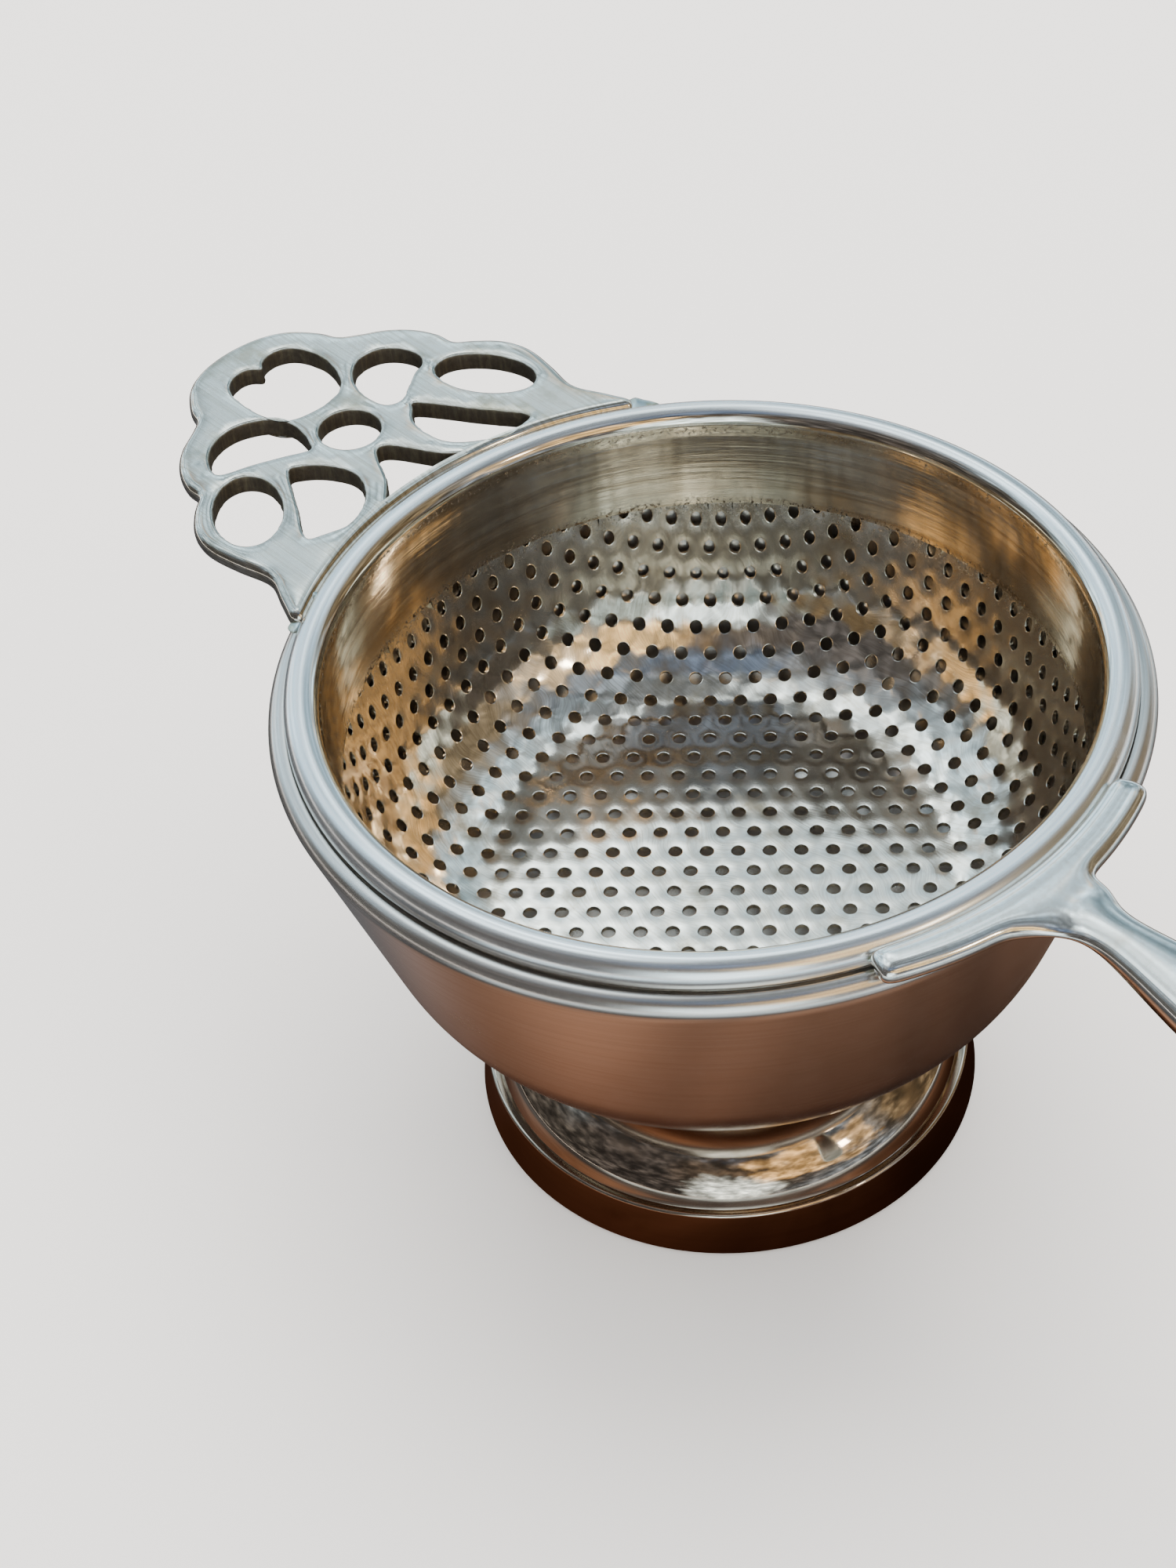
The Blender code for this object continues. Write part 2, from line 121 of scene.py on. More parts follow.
class Graph:
    """A node tree that is filled through one method."""

    def __init__(self, tree: bpy.types.NodeTree) -> None:
        """Wrap a tree."""
        self.tree = tree

    def add(self, kind: str, settings: dict[str, Any] | None = None, values: dict[Any, Any] | None = None,
            output: int | str = 0) -> Wire:
        """Add a node.

        Args:
            kind: The node's type.
            settings: Its properties, which are set first. "stops" fills a colour ramp.
            values: Numbers, data or wires for its input sockets, by name or place.
            output: Name or place of the output to return.

        Returns:
            That output.
        """
        node = self.tree.nodes.new(kind)
        for key, value in (settings or {}).items():
            if key == "stops":
                self._fill_ramp(node.color_ramp, value)
            else:
                setattr(node, key, value)
        for key, value in (values or {}).items():
            socket = node.inputs[key]
            if isinstance(value, Wire):
                self.tree.links.new(value.socket, socket)
            else:
                socket.default_value = value
        return Wire(self, node.outputs[output])

    @staticmethod
    def _fill_ramp(ramp: bpy.types.ColorRamp, stops: Sequence[tuple[float, Colour]]) -> None:
        """Set a colour ramp's stops."""
        while len(ramp.elements) < len(stops):
            ramp.elements.new(1.0)
        for element, (place, colour) in zip(ramp.elements, stops):
            element.position = place
            element.color = (*colour, 1.0)

    def noise(self, vector: Wire, scale: float, detail: float = 3.0, rough: float = 0.5,
              distortion: float = 0.0) -> Wire:
        """Add a noise texture and return its grey value."""
        return self.add("ShaderNodeTexNoise", {}, {"Vector": vector, "Scale": scale, "Detail": detail,
                                                   "Roughness": rough, "Distortion": distortion}, "Fac")

    def ramp(self, value: Wire, low: float, high: float) -> Wire:
        """Stretch the part of a value between two numbers to 0 to 1, and clamp the rest."""
        return self.add("ShaderNodeMapRange", {"clamp": True},
                        {"Value": value, "From Min": low, "From Max": high})

    def blend(self, share: Wire | float, first: Wire | Colour, second: Wire | Colour) -> Wire:
        """Mix two colours."""
        ends = [end if isinstance(end, Wire) else (*end, 1.0) for end in (first, second)]
        return self.add("ShaderNodeMix", {"data_type": "RGBA"}, {0: share, 6: ends[0], 7: ends[1]}, 2)


# ---------------------------------------------------------------- finishes
class Marks(Enum):
    """Which way a tool left its lines."""

    SPUN = "round the axis"
    BRUSHED = "straight across"
    SCRATCHED = "in wandering scratches"
    LOOSE = "no lines"


@dataclass(frozen=True)
class WearAndPaintedLight:
    """How age and handling show on every finish, and where light is painted in: shade in the seams, a sheen on
    the rim's bead and streaks along tool lines. Noise scales are per millimetre, heights in millimetres.
    """

    middle: float = 0.5                                  # a noise's mean
    stain_from: tuple[float, float] = (0.66, -0.42)      # stains begin here in their noise; their share adds
    stain_to: tuple[float, float] = (0.80, -0.30)        # the second number, and here they are full
    stain_tone: float = 0.8
    stain_dulls: float = 0.10
    speckle_scale: float = 3.2
    speckle_range: tuple[float, float] = (0.50, 0.66)
    darkening_strength: float = 1.6
    # dark colour of the soiling under the bead and of the painted shade in the seams
    darkening_colour: Colour = (0.06, 0.045, 0.03)
    darkening_dulls: float = 0.4
    # paler colour of the dulled bead: a painted sheen that stands in for its highlight
    satin_sheen_tone: float = 0.85
    satin_sheen_colour: Colour = (0.93, 0.94, 0.93)
    satin_dulls: float = 0.16
    satin_hides_tint: float = 0.5
    satin_levels: float = 0.75
    wall_scale: float = 1.9
    wall_light: float = 1.9
    wall_dulls: float = 0.45
    wall_pits: float = 0.10
    edge_brightens: float = 0.5
    edge_levels: float = 0.7
    line_range: tuple[float, float] = (0.45, 0.75)
    line_dulls: float = 0.08
    smudge_scale: float = 0.35
    roughness_range: tuple[float, float] = (0.03, 0.9)
    loose_scale: float = 1.6
    spin_stretch: float = 0.03
    brush_turn: float = math.radians(38)
    brush_stretch: tuple[float, float] = (0.06, 0.3)     # along the lines, and upwards
    scratch_turn: float = math.radians(-64)
    scratch_stretch: tuple[float, float] = (0.10, 0.5)
    wander_scale: float = 0.11
    wander: Colour = (9.0, 9.0, 0.0)


WEAR_AND_PAINTED_LIGHT = WearAndPaintedLight()


@dataclass(frozen=True)
class Plate:
    """Plated metal: colour, stains, gloss and tool lines. Lengths are in millimetres."""

    name: str
    colour: Colour
    stain: Colour
    stain_share: float
    stain_size: float
    roughness: float
    roughness_swing: float
    marks: Marks = Marks.LOOSE
    mark_gap: float = 0.25
    mark_depth: float = 0.0015
    wave_depth: float = 0.004
    wave_size: float = 6.0
    pit_depth: float = 0.0
    pit_size: float = 0.4
    rough_wall: Colour = (0.10, 0.085, 0.065)
    # tint of the tool lines: real lines, whose coloured contrast is partly a painted streaky highlight
    line_streak_tone: float = 0.35

    def material(self) -> bpy.types.Material:
        """Build the material.

        The mesh's "along" says how far along the section a point is, in millimetres. Its "wall" is 1 on a
        wall left rough from casting, its "edge" is 1 on a polished edge, its "dirt_and_shade" is 1 under the
        bead, where soiling gathers, and at the seam between collar and bowl, where shade is painted, and its
        "satin_sheen" is 1 where handling has dulled the polish and a paler painted sheen stands in for the
        bead's highlight.

        Returns:
            The material.
        """
        material = bpy.data.materials.new(self.name)
        material.use_nodes = True
        graph = Graph(material.node_tree)
        shader = material.node_tree.nodes["Principled BSDF"]
        shader.inputs["Metallic"].default_value = 1.0
        place = self._place(graph)
        wall, edge, dirt_and_shade, satin_sheen = (self._mark(graph, name) for name in ("wall", "edge", "dirt_and_shade", "satin_sheen"))

        cloud = graph.noise(place, 1.0 / self.stain_size, detail=4.0, rough=0.6)
        limits = [base + gain * self.stain_share for base, gain in (WEAR_AND_PAINTED_LIGHT.stain_from, WEAR_AND_PAINTED_LIGHT.stain_to)]
        stain = graph.ramp(cloud, *limits)
        speckle = graph.noise(place, WEAR_AND_PAINTED_LIGHT.speckle_scale, detail=2.0, rough=0.6)
        speckle = graph.ramp(speckle, *WEAR_AND_PAINTED_LIGHT.speckle_range)
        darkening = graph.add("ShaderNodeMath", {"operation": "MULTIPLY", "use_clamp": True},
                         {0: dirt_and_shade, 1: speckle * WEAR_AND_PAINTED_LIGHT.darkening_strength})
        colour = graph.blend(stain * WEAR_AND_PAINTED_LIGHT.stain_tone, self.colour, self.stain)
        # Painted sheen: the dulled bead turns paler, standing in for its highlight.
        colour = graph.blend(satin_sheen * WEAR_AND_PAINTED_LIGHT.satin_sheen_tone, colour, WEAR_AND_PAINTED_LIGHT.satin_sheen_colour)
        # Dirt under the bead, and painted shade in the seam between collar and bowl, in one dark colour.
        colour = graph.blend(darkening, colour, WEAR_AND_PAINTED_LIGHT.darkening_colour)
        tone = graph.blend(graph.noise(place, WEAR_AND_PAINTED_LIGHT.wall_scale, detail=4.0, rough=0.7), self.rough_wall,
                           tuple(WEAR_AND_PAINTED_LIGHT.wall_light * part for part in self.rough_wall))
        colour = graph.blend(wall, colour, tone)
        lines = self._lines(graph, place)
        # Tool lines tinted towards the stain colour; this contrast also stands in for streaky highlights, a
        # painted highlight.
        tint = graph.ramp(lines, *WEAR_AND_PAINTED_LIGHT.line_range) * self.line_streak_tone * (1.0 - satin_sheen * WEAR_AND_PAINTED_LIGHT.satin_hides_tint)
        colour = graph.blend(tint, colour, self.stain)

        smudge = graph.noise(place, WEAR_AND_PAINTED_LIGHT.smudge_scale, detail=4.0, rough=0.6) - WEAR_AND_PAINTED_LIGHT.middle
        rough = self.roughness + smudge * (2 * self.roughness_swing) + (lines - WEAR_AND_PAINTED_LIGHT.middle) * WEAR_AND_PAINTED_LIGHT.line_dulls
        rough = rough + stain * WEAR_AND_PAINTED_LIGHT.stain_dulls + darkening * WEAR_AND_PAINTED_LIGHT.darkening_dulls + wall * WEAR_AND_PAINTED_LIGHT.wall_dulls
        rough = rough + satin_sheen * WEAR_AND_PAINTED_LIGHT.satin_dulls - edge * (WEAR_AND_PAINTED_LIGHT.edge_brightens * self.roughness)
        least, most = WEAR_AND_PAINTED_LIGHT.roughness_range
        rough = graph.add("ShaderNodeClamp", {}, {"Value": rough, "Min": least, "Max": most})

        wave = graph.noise(place, 1.0 / self.wave_size, detail=1.0, rough=0.4)
        pits = graph.noise(place, 1.0 / self.pit_size, detail=3.0, rough=0.6)
        kept = 1.0 - edge * WEAR_AND_PAINTED_LIGHT.edge_levels - satin_sheen * WEAR_AND_PAINTED_LIGHT.satin_levels
        height = wave * self.wave_depth + lines * self.mark_depth * kept
        height = height + pits * (self.pit_depth + wall * WEAR_AND_PAINTED_LIGHT.wall_pits)
        bump = graph.add("ShaderNodeBump", {}, {"Strength": 1.0, "Distance": MM, "Height": height})

        for socket, wire in (("Base Color", colour), ("Roughness", rough), ("Normal", bump)):
            material.node_tree.links.new(wire.socket, shader.inputs[socket])
        return material

    @staticmethod
    def _place(graph: Graph) -> Wire:
        """Object coordinates in millimetres."""
        place = graph.add("ShaderNodeTexCoord", output="Object")
        return graph.add("ShaderNodeVectorMath", {"operation": "SCALE"}, {0: place, "Scale": 1 / MM})

    @staticmethod
    def _mark(graph: Graph, name: str) -> Wire:
        """One of the mesh's own numbers."""
        return graph.add("ShaderNodeAttribute", {"attribute_name": name}, output="Fac")

    def _lines(self, graph: Graph, place: Wire) -> Wire:
        """Fine tool lines, as a grey value."""
        across = 1 / self.mark_gap
        if self.marks is Marks.LOOSE:
            return graph.noise(place, WEAR_AND_PAINTED_LIGHT.loose_scale, detail=5.0, rough=0.7)
        if self.marks is Marks.BRUSHED:
            vector = self._grain(graph, place, WEAR_AND_PAINTED_LIGHT.brush_turn, across, WEAR_AND_PAINTED_LIGHT.brush_stretch)
            return graph.noise(vector, 1.0, rough=0.65)
        if self.marks is Marks.SCRATCHED:
            bend = graph.add("ShaderNodeTexNoise", {},
                             {"Vector": place, "Scale": WEAR_AND_PAINTED_LIGHT.wander_scale, "Detail": 1.0}, "Color")
            bent = graph.add("ShaderNodeVectorMath", {"operation": "MULTIPLY_ADD"},
                             {0: bend, 1: WEAR_AND_PAINTED_LIGHT.wander, 2: place})
            vector = self._grain(graph, bent, WEAR_AND_PAINTED_LIGHT.scratch_turn, across, WEAR_AND_PAINTED_LIGHT.scratch_stretch)
            return graph.noise(vector, 1.0, rough=0.7)
        parts = graph.add("ShaderNodeSeparateXYZ", {}, {0: place})
        x, y = parts, Wire(graph, parts.socket.node.outputs[1])
        vector = graph.add("ShaderNodeCombineXYZ", {}, {0: x * WEAR_AND_PAINTED_LIGHT.spin_stretch, 1: y * WEAR_AND_PAINTED_LIGHT.spin_stretch,
                                                        2: self._mark(graph, "along") / self.mark_gap})
        return graph.noise(vector, 1.0, detail=4.0, rough=0.7)

    @staticmethod
    def _grain(graph: Graph, place: Wire, turn: float, across: float, stretch: tuple[float, float]) -> Wire:
        """Coordinates that are turned about Z and squeezed across the lines."""
        return graph.add("ShaderNodeMapping", {}, {"Vector": place, "Rotation": (0, 0, turn),
                                                   "Scale": (stretch[0], across, stretch[1])})


BRIGHT_PLATE = Plate("bright_rim_plate", (0.78, 0.71, 0.60), (0.36, 0.26, 0.16), stain_share=0.16,
                     stain_size=9.0, roughness=0.075, roughness_swing=0.03, marks=Marks.SPUN, mark_gap=0.85,
                     mark_depth=0.016, wave_depth=0.010, wave_size=5.0, line_streak_tone=0.85)
STAND_PLATE = Plate("satin_stand_plate", (0.68, 0.635, 0.58), (0.45, 0.345, 0.25), stain_share=0.15,
                    stain_size=20.0, roughness=0.24, roughness_swing=0.05, marks=Marks.SPUN, mark_gap=0.35,
                    mark_depth=0.002, wave_depth=0.010, wave_size=9.0)
# Its brown colour is partly the warm plate and partly a painted reflection of the brown table beside the foot.
FOOT_PLATE = Plate("mirror_foot_plate", (0.56, 0.46, 0.36), (0.38, 0.27, 0.17), stain_share=0.15,
                   stain_size=8.0, roughness=0.06, roughness_swing=0.02, marks=Marks.SPUN, mark_gap=0.45,
                   mark_depth=0.0006, wave_depth=0.010, wave_size=5.0)
SHEET_PLATE = Plate("pierced_sheet_plate", (0.86, 0.79, 0.68), (0.36, 0.28, 0.18), stain_share=0.28,
                    stain_size=4.5, roughness=0.12, roughness_swing=0.05, marks=Marks.SCRATCHED,
                    mark_gap=0.16, mark_depth=0.0022, wave_depth=0.012, wave_size=5.0, line_streak_tone=0.45)
EAR_PLATE = Plate("brushed_ear_plate", (0.64, 0.60, 0.52), (0.30, 0.26, 0.17), stain_share=0.30,
                  stain_size=5.0, roughness=0.22, roughness_swing=0.05, marks=Marks.BRUSHED, mark_gap=0.26,
                  mark_depth=0.010, wave_depth=0.015, wave_size=4.0, line_streak_tone=0.6)
HANDLE_PLATE = Plate("cast_handle_plate", (0.82, 0.80, 0.74), (0.48, 0.40, 0.30), stain_share=0.22,
                     stain_size=6.0, roughness=0.14, roughness_swing=0.05, mark_depth=0.002,
                     wave_depth=0.015, wave_size=4.0)
SOLDER_PLATE = Plate("blued_solder_plate", (0.50, 0.60, 0.62), (0.36, 0.33, 0.17), stain_share=0.62,
                     stain_size=1.6, roughness=0.30, roughness_swing=0.08, mark_depth=0.006,
                     wave_depth=0.03, wave_size=1.2, pit_depth=0.012, pit_size=0.5)


# ---------------------------------------------------------------- meshes
@dataclass
class Draft:
    """Vertices and faces in the making, with the marks that the materials read."""

    points: list[Vector] = field(default_factory=list)
    faces: list[tuple[int, ...]] = field(default_factory=list)
    marks: dict[str, dict[int, float]] = field(default_factory=dict)

    def point(self, position: Sequence[float], **marks: float) -> int:
        """Add a vertex with its marks, and return its number."""
        self.points.append(Vector(position))
        for name, value in marks.items():
            self.marks.setdefault(name, {})[len(self.points) - 1] = value
        return len(self.points) - 1

    def strip(self, first: Sequence[int], second: Sequence[int], closed: bool = True) -> None:
        """Join two rows of vertices with quads, or with triangles where a row is one vertex."""
        count = max(len(first), len(second))
        for i in range(count if closed else count - 1):
            n = (i + 1) % count
            ring = [first[i % len(first)], first[n % len(first)],
                    second[n % len(second)], second[i % len(second)]]
            self.faces.append(tuple(dict.fromkeys(ring)))

    def object(self, name: str, sharp: float = CORNER_ANGLE) -> bpy.types.Object:
        """Make the object.

        Args:
            name: Its name.
            sharp: Angle in degrees past which an edge stays sharp.

        Returns:
            The object, smooth, with its normals pointing out.
        """
        mesh = bpy.data.meshes.new(name)
        mesh.from_pydata(self.points, [], self.faces)
        for mark, values in self.marks.items():
            layer = mesh.attributes.new(mark, "FLOAT", "POINT")
            layer.data.foreach_set("value", [values.get(i, 0.0) for i in range(len(self.points))])
        bm = bmesh.new()
        bm.from_mesh(mesh)
        bmesh.ops.recalc_face_normals(bm, faces=bm.faces)
        bm.to_mesh(mesh)
        bm.free()
        mesh.shade_smooth()
        mesh.set_sharp_from_angle(angle=math.radians(sharp))
        obj = bpy.data.objects.new(name, mesh)
        bpy.context.collection.objects.link(obj)
        return obj


def arc(centre: Point2, radius: float, start: float, end: float, steps: int) -> list[Point2]:
    """Points on a circle between two angles in degrees."""
    angles = [math.radians(start + (end - start) * i / steps) for i in range(steps + 1)]
    return [(centre[0] + radius * math.cos(a), centre[1] + radius * math.sin(a)) for a in angles]


def straight(start: Sequence[float], end: Sequence[float], steps: int) -> list[tuple[float, ...]]:
    """Even points from one point to another, both included."""
    return [tuple(Vector(start).lerp(Vector(end), i / steps)) for i in range(steps + 1)]


def smooth_curve(points: Sequence[Sequence[float]], steps: int) -> list[tuple[float, ...]]:
    """Catmull-Rom curve through a few points."""
    ends = [points[0], *points, points[-1]]
    curve = []
    for i in range(1, len(ends) - 2):
        a, b, c, d = (Vector(ends[i + k]) for k in (-1, 0, 1, 2))
        for s in range(steps):
            t = s / steps
            curve.append(tuple(0.5 * (2 * b + (c - a) * t + (2 * a - 5 * b + 4 * c - d) * t * t
                                      + (3 * b - a - 3 * c + d) * t ** 3)))
    return curve + [tuple(points[-1])]


def normals_of(line: Sequence[Point2], closed: bool = False) -> list[Vector]:
    """Unit vectors to the left of a plane line, one for each point."""
    count = len(line)
    normals = []
    for i in range(count):
        before = Vector(line[i - 1] if closed or i else line[0])
        after = Vector(line[(i + 1) % count] if closed or i + 1 < count else line[-1])
        step = (after - before).normalized()
        normals.append(Vector((-step.y, step.x)))
    return normals


EDGE_ARCH = 0.35        # how far a free edge bulges, as a share of the wall
EDGE_WIDTH = 0.8        # width of that bulge, as a share of the wall
EDGE_START = 0.8        # where the bulge starts, in radians from the sheet's face


def shell_section(line: Sequence[Point2], wall: float) -> list[Point2]:
    """Closed section of a sheet on the left of a line. Free edges are rounded, ends on the axis are square."""
    moved = [(max(p[0] + n.x * wall, 0.0), p[1] + n.y * wall) for p, n in zip(line, normals_of(line))]
    section = list(line)
    for near, far, past in ((line[-1], moved[-1], line[-2]), (moved[0], line[0], moved[1])):
        if near[0] > MERGE:
            middle = (Vector(near) + Vector(far)) / 2
            out = (Vector(near) - Vector(past)).normalized() * wall * EDGE_ARCH
            half = (Vector(near) - Vector(far)) / 2
            section += [tuple(middle + half * math.cos(a) * EDGE_WIDTH + out * math.sin(a))
                        for a in (EDGE_START, math.pi / 2, math.pi - EDGE_START)]
        if near is line[-1]:
            section += moved[::-1]
    return section


def turned(name: str, section: Sequence[Point2], segments: int = TURNED_FACETS,
           dirt_and_shade: Callable[[float, float], float] | None = None,
           satin_sheen: Callable[[float, float], float] | None = None) -> bpy.types.Object:
    """Turn a closed section of radii and heights about Z.

    Args:
        name: The object's name.
        section: The closed section.
        segments: Number of facets round the axis.
        dirt_and_shade: Share of soiling and of painted shade at a radius and height.
        satin_sheen: Share of dulled polish and its painted sheen at a radius and height.

    Returns:
        The object.
    """
    draft = Draft()
    rows, along = [], 0.0
    for i, (r, z) in enumerate(section):
        along += (Vector((r, z)) - Vector(section[i - 1])).length / MM if i else 0.0
        marks = {"along": along, "dirt_and_shade": dirt_and_shade(r, z) if dirt_and_shade else 0.0,
                 "satin_sheen": satin_sheen(r, z) if satin_sheen else 0.0}
        turns = [0.0] if r < MERGE else [2 * math.pi * s / segments for s in range(segments)]
        rows.append([draft.point((r * math.cos(a), r * math.sin(a), z), **marks) for a in turns])
    for here, there in zip(rows, rows[1:] + rows[:1]):
        if len(here) > 1 or len(there) > 1:
            draft.strip(here, there)
    return draft.object(name)


def soften(loop: Sequence[Point2], spacing: float, passes: int) -> list[Point2]:
    """Space a closed loop's points evenly, then round its corners by averaging neighbours."""
    closed = [Vector(p) for p in (*loop, loop[0])]
    lengths = [(b - a).length for a, b in zip(closed, closed[1:])]
    total = sum(lengths)
    count = max(int(total / spacing), 12)
    even, piece, passed = [], 0, 0.0
    for i in range(count):
        target = total * i / count
        while passed + lengths[piece] < target:
            passed += lengths[piece]
            piece += 1
        share = (target - passed) / max(lengths[piece], 1e-9)
        even.append(closed[piece].lerp(closed[piece + 1], share))
    for _ in range(passes):
        even = [(even[i - 1] + even[i] * 2 + even[(i + 1) % count]) / 4 for i in range(count)]
    return [tuple(p) for p in even]


def signed_area(loop: Sequence[Point2]) -> float:
    """Area of a closed loop, positive if it runs counterclockwise."""
    return sum(a[0] * b[1] - b[0] * a[1] for a, b in zip(loop, [*loop[1:], loop[0]])) / 2


# ---------------------------------------------------------------- pieces
class Body(Enum):
    """The two bodies that come apart."""

    STRAINER = "strainer"
    STAND = "stand"


class Slot(Enum):
    """Names of the material slots."""

    POLISHED = "polished_plate"
    PRESSED = "pressed_sheet"
    CAST = "cast_plate"
    SOLDER = "solder"


def settle(obj: bpy.types.Object, finish: Plate, body: Body, slot: Slot, *nodes: str) -> None:
    """Dress a finished piece and tie it to the frame.

    Args:
        obj: The piece.
        finish: Its finish.
        body: The body that it rides on.
        slot: Its material slot. Not used.
        nodes: The CAD nodes that it stands for.
    """
    obj.data.materials.clear()
    obj.data.materials.append(bpy.data.materials.get(finish.name) or finish.material())
    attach(obj, body.value)
    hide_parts(*nodes)
    LOG.info("%s: %d faces, for %s", obj.name, len(obj.data.polygons), ", ".join(nodes))


@dataclass
class Collar:
    """Spun band with the rolled rim."""

    roll: float = 1.35 * MM
    lip: float = 0.35 * MM
    wall: float = 0.6 * MM
    taper: float = 0.9 * MM
    shoulder_drop: float = 0.4 * MM     # the wall's top below the roll's centre
    satin_from: float = 0.75            # share of the roll inside its centre where the dulled bead begins
    satin_fade: float = 0.3
    bead_dirt: float = 0.55
    bead_dirt_drop: float = 0.2 * MM
    bead_dirt_width: float = 0.35 * MM
    # painted shade in the seam along the lower edge
    seam_shade: float = 0.8
    seam_shade_width: float = 0.5 * MM
    wall_steps: int = 10
    roll_steps: int = 28

    def __post_init__(self) -> None:
        """Take the rim's size and place from the frame."""
        low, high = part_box("strainer_collar")
        self.rim_radius = high.x
        self.top = high.z
        self.foot_z = low.z
        self.foot_radius = self.rim_radius - 2 * self.roll - self.taper
        self.roll_centre = (self.rim_radius - self.roll, self.top - self.roll)

    def build(self) -> None:
        """Make the collar."""
        foot = (self.foot_radius, self.foot_z)
        shoulder = (self.roll_centre[0] - self.roll, self.roll_centre[1] - self.shoulder_drop)
        wall = straight(foot, shoulder, self.wall_steps)
        roll = arc(self.roll_centre, self.roll, 180, 0, self.roll_steps)
        line = [*wall, *roll, (self.rim_radius, self.roll_centre[1] - self.lip)]
        section = shell_section(line, -self.wall)
        obj = turned("spun_collar", section, dirt_and_shade=self._dirt_and_shade, satin_sheen=self._satin_sheen)
        settle(obj, BRIGHT_PLATE, Body.STRAINER, Slot.POLISHED, "strainer_collar")

    def _satin_sheen(self, r: float, z: float) -> float:
        """The bead is dulled and painted with a paler sheen that stands in for its highlight; the wall inside
        it isn't.
        """
        share = (r - self.roll_centre[0] + self.satin_from * self.roll) / (self.satin_fade * self.roll)
        return min(max(share, 0.0), 1.0)

    def _dirt_and_shade(self, r: float, z: float) -> float:
        """Dirt under the bead, and painted shade in the seam along the lower edge."""
        under_bead = math.exp(-((z - self.roll_centre[1] + self.bead_dirt_drop) / self.bead_dirt_width) ** 2)
        inside = r < self.roll_centre[0] - 0.8 * self.roll
        # painted shade in the seam along the collar's lower edge
        low_edge = math.exp(-((z - self.foot_z) / self.seam_shade_width) ** 2)
        return self.bead_dirt * under_bead * inside + self.seam_shade * low_edge


SAMPLE_MARGIN = 0.001       # keeps the blank's last ring inside the section's last step


